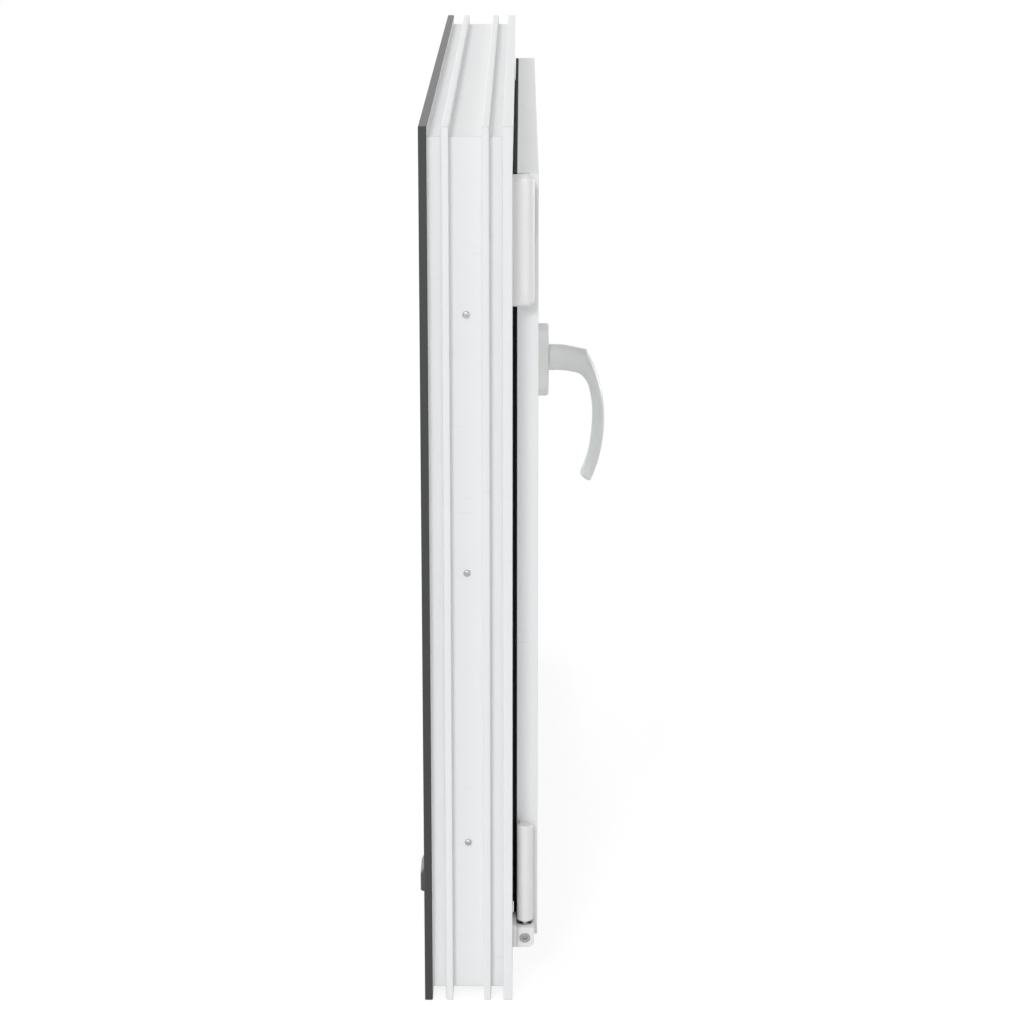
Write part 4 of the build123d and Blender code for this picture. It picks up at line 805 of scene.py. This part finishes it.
cover_rings = round_ended(lambda r, z: d_ring(r, ROOM, z), COVER_R, *COVER_Z, COVER_END)
hollow_z = (COVER_Z[0] + COVER_WALL, COVER_Z[1] - COVER_WALL)
hollow_rings = round_ended(lambda r, z: d_ring(r, ROOM + CUT_PAST, z), COVER_R - COVER_WALL, *hollow_z,
                           COVER_END - COVER_WALL)
cover = skin("stay_cover_shell", cover_rings)
cut_corner = (HINGE_X + CUT_WIDE, ROOM + CUT_PAST, COVER_CUT_Z[1])
cover_cutters = [
    skin("cover_hollow", hollow_rings),
    box_shell("cover_front_cut", (HINGE_X + COVER_CUT_FRONT, HINGE_Y - CUT_WIDE, COVER_CUT_Z[0]), cut_corner),
    box_shell("cover_back_cut", (HINGE_X + COVER_CUT_BACK, HINGE_Y, COVER_CUT_Z[0]), cut_corner),
]
fit(cut(cover, cover_cutters), hinge_white, "frame", "hinge_white", "stay_bearing_cover")
show_node("stay_arm_forging", "stay_arm", ARM_EDGE, plated_steel, "stay", "plated_steel")

# Sash
# Four mitred and welded lengths of white PVC with the hardware groove in their edge and a rebate for the
# glass. The right stile has a pocket milled through the groove for the gear behind the handle.
SASH_EDGE = 40.0
SASH_BODY = 60.0
SASH_ROOM = -55.0
LAP_BACK = -38.5
GLASS_STOP = -3.0
SASH_OUT = 9.0
SASH_CLAD_OUT = 11.0
SASH_CLAD_RETURN = 6.0
BEAD_SEAT = 98.0
UPSTAND_TIP = 116.0
SIGHT_LINE = 118.0
GROOVE_FLOOR = 72.0
GROOVE_HALF = 6.2
SEAT_HALF = 8.2
SEAT_FLOOR = 62.2
HANDLE_X = 374.5
HANDLE_Z = 350.0
SASH_ROUND = 0.9
SASH_SOFT_EDGE = 0.35
SHEET_SEAT = (
    (UPSTAND_TIP, GLASS_STOP), (UPSTAND_TIP, SASH_OUT), (SASH_BODY + CLAD, SASH_OUT),
    (SASH_BODY + CLAD, SASH_CLAD_OUT - SASH_CLAD_RETURN), (SASH_BODY, SASH_CLAD_OUT - SASH_CLAD_RETURN),
)
sash_outline = [
    (SASH_EDGE, SASH_ROOM, SASH_ROUND), (BEAD_SEAT, SASH_ROOM, SOFT_EDGE), (BEAD_SEAT, GLASS_STOP),
    *SHEET_SEAT, (SASH_BODY, GROOVE_Y + SEAT_HALF), (SEAT_FLOOR, GROOVE_Y + SEAT_HALF),
    (SEAT_FLOOR, GROOVE_Y + GROOVE_HALF), (GROOVE_FLOOR, GROOVE_Y + GROOVE_HALF),
    (GROOVE_FLOOR, GROOVE_Y - GROOVE_HALF), (SEAT_FLOOR, GROOVE_Y - GROOVE_HALF),
    (SEAT_FLOOR, GROOVE_Y - SEAT_HALF), (SASH_BODY, GROOVE_Y - SEAT_HALF),
    (SASH_BODY, LAP_BACK), (SASH_EDGE, LAP_BACK, SOFT_EDGE),
]
sash_loop = rounded(sash_outline, SASH_SOFT_EDGE)
POCKET_ACROSS = (SASH_BODY - CUT_PAST, 89.2)
POCKET_HALF = (6.7, 31.2)
BORE_R = 7.2
SASH_BARS = (("left", "sash_stile_left"), ("right", "sash_stile_right"),
             ("sill", "sash_rail_bottom"), ("head", "sash_rail_top"))


def bore(name, low_y, high_y, radius):
    """A round plug along Y on the handle's axis, used only to cut another piece."""
    ring = circle(radius, SCREW_SIDES)
    return skin(name, [[(HANDLE_X + x, y, HANDLE_Z + z) for x, z in ring] for y in (low_y, high_y)])


for side, node in SASH_BARS:
    profile = mitred_bar(f"{node}_profile", side, sash_loop, WELD_DEPTH, WELD_RUN)
    if side == "right":
        deep, tall = POCKET_HALF
        pocket = [spot(side, across, GROOVE_Y + way * deep, HANDLE_Z + way * tall)
                  for across, way in zip(POCKET_ACROSS, (-1, 1))]
        spindle_bore = bore("spindle_bore", SASH_ROOM - CUT_PAST, GROOVE_Y, BORE_R)
        profile = cut(profile, [box_shell("gear_pocket", *pocket), spindle_bore])
    fit(profile, pvc_on[side], "sash", "white_pvc", node)

# Outdoor cladding of the sash
# Folded aluminium in the same anthracite, clipped over the outdoor face of the sash up to the glass.
SHEET_EDGE = 0.4
sash_clad_outline = [
    (SASH_BODY, SASH_CLAD_OUT, BEND), (SIGHT_LINE, SASH_CLAD_OUT, BEND), (SIGHT_LINE, GLASS_STOP),
    *SHEET_SEAT,
]
sash_clad_loop = rounded(sash_clad_outline, SHEET_EDGE)
for side in SIDES:
    sheet = mitred_bar(f"sash_cladding_{side}_sheet", side, sash_clad_loop, MITRE_GAP, MITRE_RUN)
    fit(sheet, anthracite, "sash", "anthracite_cladding", f"sash_cladding_{side}")

# Lap gasket
# A black rubber seal behind the sash's lap, pressed on the frame's room face. It is left out for a short way
# on the hinge side, where the stay arm passes.
STAY_GAP = (606.0, 649.0)
LAP_SEAL = (40.3, 48.8)
lap_seal_outline = [
    (LAP_SEAL[0], LAP_BACK), (LAP_SEAL[1], LAP_BACK), (LAP_SEAL[1] - 0.4, -37.0), (LAP_SEAL[1] - 2.4, -35.9),
    (LAP_SEAL[0] + 0.5, -35.85), (LAP_SEAL[0], -36.4),
]
lap_seal_loop = rounded(lap_seal_outline, SEAL_EDGE, SEAL_STEPS)
lap_rings = [[spot("left", p.x, p.y, STAY_GAP[1]) for p in lap_seal_loop]]
lap_rings += [corner_ring(corner, lap_seal_loop) for corner in CORNER_WAYS]
lap_rings.append([spot("left", p.x, p.y, STAY_GAP[0]) for p in lap_seal_loop])
fit(skin("lap_seal", lap_rings), black_rubber_and_slit_shade, "sash", "black_gasket", "sash_gasket")

# Glass
# A sealed unit of two 4 mm float panes with ground edges, faintly green, standing on plastic blocks.
GLASS_EDGE = 103.0
ARRIS = 0.5
OUTER_PANE = (-10.0, -6.0)
INNER_PANE = (-30.0, -26.0)


def float_glass():
    """Clear float glass that lets lamp light through."""
    material, tree, shader, place = finish("clear_glass")
    drift = effect(tree, TONE_DRIFT, place, Broad=2.5, Fine=40.0)
    colour = blend_colour(tree, drift["Drift"], (0.935, 0.965, 0.95), (0.95, 0.975, 0.962))
    inputs = {"Base Color": colour, "Roughness": 0.0, "Transmission Weight": 1.0, "IOR": 1.52}
    surface(tree, shader, inputs, (drift["Drift"], 0.02, 0.02))
    clear = add(tree, "ShaderNodeBsdfTransparent", {"Color": (0.965, 0.98, 0.972, 1.0)})
    shadow = add(tree, "ShaderNodeLightPath").outputs["Is Shadow Ray"]
    mix = add(tree, "ShaderNodeMixShader", {"Fac": shadow, 1: shader, 2: clear})
    feed(tree, tree.nodes["Material Output"], {"Surface": mix})
    return material


clear_glass = float_glass()
for node, (low_y, high_y) in (("glass_outer", OUTER_PANE), ("glass_inner", INNER_PANE)):
    section = []
    for y, edge in ((low_y, GLASS_EDGE + ARRIS), (low_y + ARRIS, GLASS_EDGE),
                    (high_y - ARRIS, GLASS_EDGE), (high_y, GLASS_EDGE + ARRIS)):
        left = spot("left", edge, y, edge)
        right = spot("right", edge, y, HEIGHT - edge)
        section.append([left, (right[0], y, left[2]), right, (left[0], y, right[2])])
    fit(skin(f"{node}_pane", section), clear_glass, "sash", "clear_glass", node)

# Edge of the glass unit
# A spacer bar of satin aluminium with slits that let the drying agent breathe, drawn as dark patches of
# painted shade, and a black edge seal.
CAVITY = (INNER_PANE[1], OUTER_PANE[0])
SPACER = (108.0, 115.0)
SPACER_ROUND = 1.0
EDGE_SEAL_ROUND = 0.8
SLIT_PITCH = 9.0
SLIT_LENGTH = 2.6
SLIT_WIDTH = 0.5
SLIT_DEPTH = 0.16


def satin_aluminium():
    """Rolled aluminium strip with lines along its run."""
    material, tree, shader, place = finish("spacer_aluminium")
    lines = effect(tree, DRAWN_LINES, place, Count=1400.0)
    drift = effect(tree, TONE_DRIFT, place, Broad=20.0, Fine=1200.0)
    colour = blend_colour(tree, drift["Drift"], (0.72, 0.73, 0.74), (0.8, 0.81, 0.82))
    rough = between(tree, lines["Height"], 0.25, 0.45)
    inputs = {"Base Color": colour, "Roughness": rough, "Metallic": 1.0}
    surface(tree, shader, inputs, (lines["Height"], 0.25, 0.03))
    return material


def slit_row_tree():
    """Dark slits at an even pitch along a path, each lying along it, painted as the shade in the holes."""
    sizes = {name: "Float" for name in ("Pitch", "Length", "Width", "Depth")}
    inputs = {"Path": "Geometry", **sizes, "Finish": "Material"}
    tree, given, leave = node_group("slit_row", "GeometryNodeTree", inputs, {"Slits": "Geometry"})
    curve = add(tree, "GeometryNodeMeshToCurve", {"Mesh": given["Path"]})
    even = add(tree, "GeometryNodeResampleCurve", {"Curve": curve, "Length": given["Pitch"]}, mode="LENGTH")
    size = {"X": given["Length"], "Y": given["Width"], "Z": given["Depth"]}
    slit = add(tree, "GeometryNodeMeshCube", {"Size": add(tree, "ShaderNodeCombineXYZ", size)})
    tangent = add(tree, "GeometryNodeInputTangent")
    aim = add(tree, "FunctionNodeAlignRotationToVector", {"Vector": tangent}, axis="X")
    placed = {"Points": even, "Instance": slit, "Rotation": aim}
    end_tree(tree, given, add(tree, "GeometryNodeInstanceOnPoints", placed), leave)
    return tree


def cavity_ring(name, low, high, radius):
    """A strip that fills the space between the panes from one width to another, all round."""
    outline = [(low, CAVITY[0]), (high, CAVITY[0]), (high, CAVITY[1]), (low, CAVITY[1])]
    return seal_ring(name, rounded(outline, radius))


spacer_aluminium = satin_aluminium()
spacer = cavity_ring("spacer_bar", *SPACER, SPACER_ROUND)
fit(spacer, spacer_aluminium, "sash", "spacer_aluminium", "glazing_spacer")
edge_seal = cavity_ring("edge_seal", GLASS_EDGE, SPACER[0], EDGE_SEAL_ROUND)
fit(edge_seal, black_rubber_and_slit_shade, "sash", "black_gasket", "glazing_seal")
slit_middle = Vector((SPACER[1], (CAVITY[0] + CAVITY[1]) / 2))
slit_corners = [Vector(corner_ring(corner, [slit_middle])[0]) for corner in CORNER_WAYS]
slit_path = bpy.data.meshes.new("slit_path")
slit_path.from_pydata([corner * MM for corner in slit_corners], [(0, 1), (1, 2), (2, 3), (3, 0)], [])
slit_sizes = {"Pitch": SLIT_PITCH * MM, "Length": SLIT_LENGTH * MM, "Width": SLIT_WIDTH * MM,
              "Depth": SLIT_DEPTH * MM, "Finish": black_rubber_and_slit_shade}
# painted shade: the spacer's slit holes drawn as thin black boxes
spacer_slits = made_by(slit_row_tree(), "spacer_slits", slit_path, slit_sizes)
fit(spacer_slits, black_rubber_and_slit_shade, "sash", "spacer_aluminium")

# Glazing blocks
# Plastic packers that carry the glass in its rebate, out of sight behind the beads.
block_plastic = moulded_plastic("block_plastic", ((0.07, 0.16, 0.36), (0.09, 0.2, 0.42)), (0.4, 0.55), 1100.0)
dress("glazing_blocks", block_plastic)

# Glazing gaskets
# Two black rubber strips that grip the glass: one under the outdoor cladding, one under the beads.
STRIP_FOOT = 106.0
SEAL_LIP = 118.5
LIP_SLOPE = 1.2
LIP_SHARE = 0.35
STRIP_EDGE = 0.3
BEAD_BACK = -33.0
STRIPS = (("outer_glazing_strip", OUTER_PANE[1], GLASS_STOP, ("glazing_gaskets",)),
          ("inner_glazing_strip", INNER_PANE[0], BEAD_BACK, ()))
for name, glass_y, back_y, nodes in STRIPS:
    lean = glass_y + (back_y - glass_y) * LIP_SHARE
    strip_outline = [
        (STRIP_FOOT, glass_y), (SEAL_LIP, glass_y), (SEAL_LIP, lean), (SEAL_LIP - LIP_SLOPE, back_y),
        (STRIP_FOOT, back_y),
    ]
    strip = seal_ring(name, rounded(strip_outline, STRIP_EDGE, SEAL_STEPS))
    fit(strip, black_rubber_and_slit_shade, "sash", "black_gasket", *nodes)

# Glazing beads
# Mitred white PVC strips clipped into the room side of the sash, with a sloping face down to the glass.
BEAD_ROOM = -54.5
BEAD_FOOT = BEAD_SEAT + 0.2
BEAD_TOP = BEAD_SEAT + 5.8
BEAD_SLOPE = 10.5
BEAD_ROUNDS = (0.5, 2.4, 1.4)
BEAD_EDGE = 0.3
BEAD_STEPS = 6
bead_outline = [
    (BEAD_FOOT, BEAD_ROOM, BEAD_ROUNDS[0]), (BEAD_TOP, BEAD_ROOM, BEAD_ROUNDS[1]),
    (SIGHT_LINE, BEAD_ROOM + BEAD_SLOPE, BEAD_ROUNDS[2]), (SIGHT_LINE, BEAD_BACK), (BEAD_FOOT, BEAD_BACK),
]
bead_loop = rounded(bead_outline, BEAD_EDGE, BEAD_STEPS)
for side in SIDES:
    bead = mitred_bar(f"glazing_bead_{side}_strip", side, bead_loop, MITRE_GAP, MITRE_RUN)
    fit(bead, pvc_on[side], "sash", "white_pvc", f"glazing_bead_{side}")

# Lower hinge
# A steel pin stands in the pivot's cup and carries a corner band pegged into the sash. A white moulded tube,
# open towards the sash, clips over the band.
BAND_EDGE = 0.3
BAND_COVER_Z = (57.0, 139.0)
BAND_COVER_R = 6.4
BAND_COVER_WALL = 1.05
BAND_COVER_OPEN = 3.0
BAND_COVER_END = 1.6
show_node("hinge_pin_steel", "hinge_pin", PIN_EDGE, plated_steel, "sash", "plated_steel")
show_node("corner_band_casting", "corner_band", BAND_EDGE, hinge_white, "sash", "hinge_white")


def round_ring(radius, z):
    """A ring about the hinge line."""
    return [(HINGE_X + x, HINGE_Y + y, z) for x, y in circle(radius, 2 * ARC_STEPS)]


band_tube = skin("band_cover_shell", round_ended(round_ring, BAND_COVER_R, *BAND_COVER_Z, BAND_COVER_END))
cut_z = (BAND_COVER_Z[0] - CUT_PAST, BAND_COVER_Z[1] + CUT_PAST)
band_cutters = [
    skin("band_bore", [round_ring(BAND_COVER_R - BAND_COVER_WALL, z) for z in cut_z]),
    box_shell("band_opening", (HINGE_X + BAND_COVER_OPEN, HINGE_Y - CUT_WIDE, cut_z[0]),
              (HINGE_X + CUT_WIDE, HINGE_Y + CUT_WIDE, cut_z[1])),
]
fit(cut(band_tube, band_cutters), hinge_white, "sash", "hinge_white", "corner_band_cover")

# Hardware in the sash's groove
# Plated steel plates and corner pieces screwed along the edge, slotted for the cams and the stay arm's pin.
# Behind them run the drive rods with their mushroom cams, and the cast gear case sits behind the handle.
PLATE_EDGE = 0.25
ROD_EDGE = 0.2
SASH_SCREW_SEED = 7
SASH_SCREWS = {
    "right": (90.0, 128.0, 572.0, 610.0), "head": (-350.0, -115.0, 360.0), "sill": (-350.0, -151.4, 360.0),
}
for node in ("faceplate_right", "faceplate_top", "faceplate_bottom", "corner_drives"):
    show_node(f"{node}_strip", node, PLATE_EDGE, plated_steel, "sash", "plated_steel")
for side in ("right", "top", "bottom"):
    node = f"drive_rod_{side}"
    show_node(f"{node}_steel", node, ROD_EDGE, plated_steel, f"{side}_rod", "plated_steel")
dress("gearbox_case", zinc_casting)
dress("pinion", plated_steel)
sash_places = screw_places(SASH_SCREWS, SASH_BODY, GROOVE_Y, OUTWARD)
set_screws("sash_screw_heads", sash_places, csk_head, SASH_SCREW_SEED, "sash", "sash_hardware_screws")
bpy.data.objects.remove(csk_head)

# Handle
# A cast lever with a satin light grey lacquer on a long rosette with round ends. The lever leaves the rosette
# level, turns down at a firm corner, and curls back towards the sash. A square spindle drives the gear.
ROSETTE_HALF = 38.5
ROSETTE_R = 16.0
ROSETTE_DEEP = 15.3
ROSETTE_FOOT = 0.4
ROSETTE_EDGE = 2.6
ROSETTE_STEPS = 8
ROSETTE_WALL = 1.8
ROSETTE_BORE = 7.0
GRIP_HALF = 10.5
GRIP_OUTER = (
    (15.6, 16.3), (29.0, 15.9), (42.3, 13.5), (54.8, 10.8), (63.6, -7.5), (69.6, -25.5), (73.3, -45.5),
    (74.2, -66.0), (72.3, -88.0), (67.6, -109.5), (60.0, -130.3),
)
GRIP_INNER = (
    (15.6, -11.0), (27.0, -11.0), (38.5, -12.4), (48.5, -15.6), (55.6, -24.5), (59.6, -39.5), (61.0, -54.5),
    (60.4, -70.5), (58.6, -88.5), (54.4, -106.5), (48.3, -122.5),
)
GRIP_CORNER = 3
GRIP_STEPS = 8
GRIP_SIDES = 48
GRIP_SQUARE = 2.6
TIP_ROUND = 1.6
TIP_STEPS = 5
TIP_BACK = 0.1
HANDLE_TONES = ((0.785, 0.798, 0.785), (0.815, 0.828, 0.815))
HANDLE_MARK = (0.72, 0.73, 0.72)
handle_grey = handled_finish("handle_grey", HANDLE_TONES, HANDLE_MARK, (0.26, 0.38), broad=26.0, fine=1100.0,
                             scale=90.0, least=0.68, grain=700.0, bump=(0.16, 0.05))


def stadium_ring(shrink, off):
    """An upright ring with round ends, at a distance off the sash's room face."""
    ring = []
    straight = ROSETTE_HALF - ROSETTE_R
    for middle, start in ((straight, 0.0), (-straight, math.pi)):
        for x, z in half_circle(ROSETTE_R - shrink, start):
            ring.append((HANDLE_X + x, SASH_ROOM - off, HANDLE_Z + middle + z))
    return ring


rosette_rings = [stadium_ring(0.0, 0.0), stadium_ring(0.0, ROSETTE_FOOT)]
for inset, down in round_end(ROSETTE_EDGE, ROSETTE_STEPS):
    rosette_rings.append(stadium_ring(inset, ROSETTE_DEEP - down))
rosette = skin("rosette_shell", rosette_rings)
hollow_depths = (-CUT_PAST, ROSETTE_DEEP - ROSETTE_WALL)
rosette_hollow = skin("rosette_hollow", [stadium_ring(ROSETTE_WALL, off) for off in hollow_depths])
rosette_bore = bore("rosette_bore", SASH_ROOM - ROSETTE_DEEP - CUT_PAST, SASH_ROOM, ROSETTE_BORE)
fit(cut(rosette, [rosette_hollow, rosette_bore]), handle_grey, "sash", "handle_grey", "rosette_cover")


def through(points, place, breaks=()):
    """A point on the smooth curve through the points; at a break the curve has a corner."""
    index = min(int(place), len(points) - 2)
    part = place - index
    start, end = Vector(points[index]), Vector(points[index + 1])
    before = Vector(points[max(index - 1, 0)]) if index not in breaks else start * 2 - end
    after = Vector(points[min(index + 2, len(points) - 1)]) if index + 1 not in breaks else end * 2 - start
    bend = (2 * before - 5 * start + 4 * end - after) * part ** 2
    bend += (3 * start - before - 3 * end + after) * part ** 3
    return start + ((end - before) * part + bend) / 2


def grip_ring(outer, inner, shrink):
    """A rounded section of the lever between its outer and inner edges."""
    middle = (outer + inner) / 2
    up = (outer - inner) / 2
    ring = []
    for x, y in circle(1.0, GRIP_SIDES):
        side = math.copysign(abs(x) ** (2 / GRIP_SQUARE), x)
        rise = math.copysign(abs(y) ** (2 / GRIP_SQUARE), y)
        across = side * (GRIP_HALF - shrink)
        along = rise * (up.length - shrink) / up.length
        point = middle + up * along
        ring.append((HANDLE_X + across, SASH_ROOM - point.x, HANDLE_Z + point.y))
    return ring


grip_rings = []
grip_last = len(GRIP_OUTER) - 1
for step in range(grip_last * GRIP_STEPS):
    outer = through(GRIP_OUTER, step / GRIP_STEPS, (GRIP_CORNER,))
    inner = through(GRIP_INNER, step / GRIP_STEPS)
    grip_rings.append(grip_ring(outer, inner, 0.0))
tip_outer, tip_inner = Vector(GRIP_OUTER[-1]), Vector(GRIP_INNER[-1])
onward = (tip_outer - through(GRIP_OUTER, grip_last - TIP_BACK)).normalized()
for inset, short in round_end(TIP_ROUND, TIP_STEPS):
    back = onward * -short
    grip_rings.append(grip_ring(tip_outer + back, tip_inner + back, inset))
fit(skin("lever", grip_rings), handle_grey, "handle", "handle_grey", "handle_grip")
dress("rosette_base", zinc_casting)
dress("handle_screws", plated_steel)
dress("spindle", plated_steel)

# Studio
# A plain pale floor under soft white light that is stronger from outdoors. A key lamp shines from the hinge
# side and above, softer ones from the top, the hinge side and the far side, and one lights the room side.
FLOOR_HALF = 6.0
AMBIENT_OUTDOOR = 0.68
AMBIENT_ROOM = 0.34
WHITE = (1.0, 1.0, 1.0, 1.0)


def seen_ray(tree):
    """1 for what the camera sees, directly, in gloss or through glass."""
    path = add(tree, "ShaderNodeLightPath").outputs
    seen = path["Is Camera Ray"]
    for name in ("Is Glossy Ray", "Is Transmission Ray"):
        seen = add(tree, "ShaderNodeMath", {0: seen, 1: path[name]}, operation="MAXIMUM")
    return seen


floor_shell = bmesh.new()
corners = ((-1, -1), (1, -1), (1, 1), (-1, 1))
floor_shell.faces.new([floor_shell.verts.new((x * FLOOR_HALF, y * FLOOR_HALF, 0.0)) for x, y in corners])
floor = to_piece("studio_floor", floor_shell)
pale, tree, shader, _ = finish("pale_floor")
surface(tree, shader, {"Base Color": (0.8, 0.8, 0.8, 1.0), "Roughness": 0.9})
shown = add(tree, "ShaderNodeBsdfDiffuse", {"Color": (0.2, 0.2, 0.2, 1.0)})
glow = add(tree, "ShaderNodeEmission", {"Strength": 0.86})
lit = add(tree, "ShaderNodeAddShader", {0: shown, 1: glow})
choice = add(tree, "ShaderNodeMixShader", {"Fac": seen_ray(tree), 1: shader, 2: lit})
feed(tree, tree.nodes["Material Output"], {"Surface": choice})
floor.data.materials.append(pale)

world = bpy.data.worlds.new("studio")
bpy.context.scene.world = world
world.use_nodes = True
tree = world.node_tree
way = add(tree, "ShaderNodeTexCoord").outputs["Generated"]
outdoors = add(tree, "ShaderNodeSeparateXYZ", {"Vector": way}).outputs["Y"]
ambient = {"Value": outdoors, "From Min": -1.0, "To Min": AMBIENT_ROOM, "To Max": AMBIENT_OUTDOOR}
soft = tree.nodes["Background"]
feed(tree, soft, {"Color": WHITE, "Strength": add(tree, "ShaderNodeMapRange", ambient)})
white = add(tree, "ShaderNodeBackground", {"Color": WHITE, "Strength": 1.0})
choice = add(tree, "ShaderNodeMixShader", {"Fac": seen_ray(tree), 1: soft, 2: white})
feed(tree, tree.nodes["World Output"], {"Surface": choice})

# Each lamp: its strength, its spread in degrees, and the way its light travels
LAMPS = {
    "key": (1.0, 13.0, (0.8, -0.21, -0.56)),
    "top": (0.35, 25.0, (0.1, -0.5, -0.86)),
    "front": (0.32, 30.0, (0.98, 0.1, -0.05)),
    "room_side": (1.22, 16.0, (-0.55, 0.83, 0.0)),
    "far_side": (0.9, 30.0, (-0.62, -0.75, -0.2)),
}
for name, (strength, spread, travel) in LAMPS.items():
    light = bpy.data.lights.new(name, "SUN")
    light.energy = strength
    light.angle = math.radians(spread)
    lamp = bpy.data.objects.new(name, light)
    lamp.rotation_euler = Vector(travel).to_track_quat("-Z", "Y").to_euler()
    bpy.context.scene.collection.objects.link(lamp)

CAMERA_AT = (-2.5723, -0.0420, 0.9730)
CAMERA_DOWN = math.radians(14.979)
CAMERA_ASIDE = math.radians(0.197)
lens = bpy.data.cameras.new("camera")
lens.lens = 100.96
lens.sensor_width = 36.0
camera = bpy.data.objects.new("camera", lens)
camera.location = CAMERA_AT
level_run = math.cos(CAMERA_DOWN)
look = Vector((
    level_run * math.cos(CAMERA_ASIDE), level_run * math.sin(CAMERA_ASIDE), -math.sin(CAMERA_DOWN),
))
camera.rotation_euler = look.to_track_quat("-Z", "Y").to_euler()
bpy.context.scene.collection.objects.link(camera)
bpy.context.scene.camera = camera
bpy.context.scene.view_settings.view_transform = "Standard"
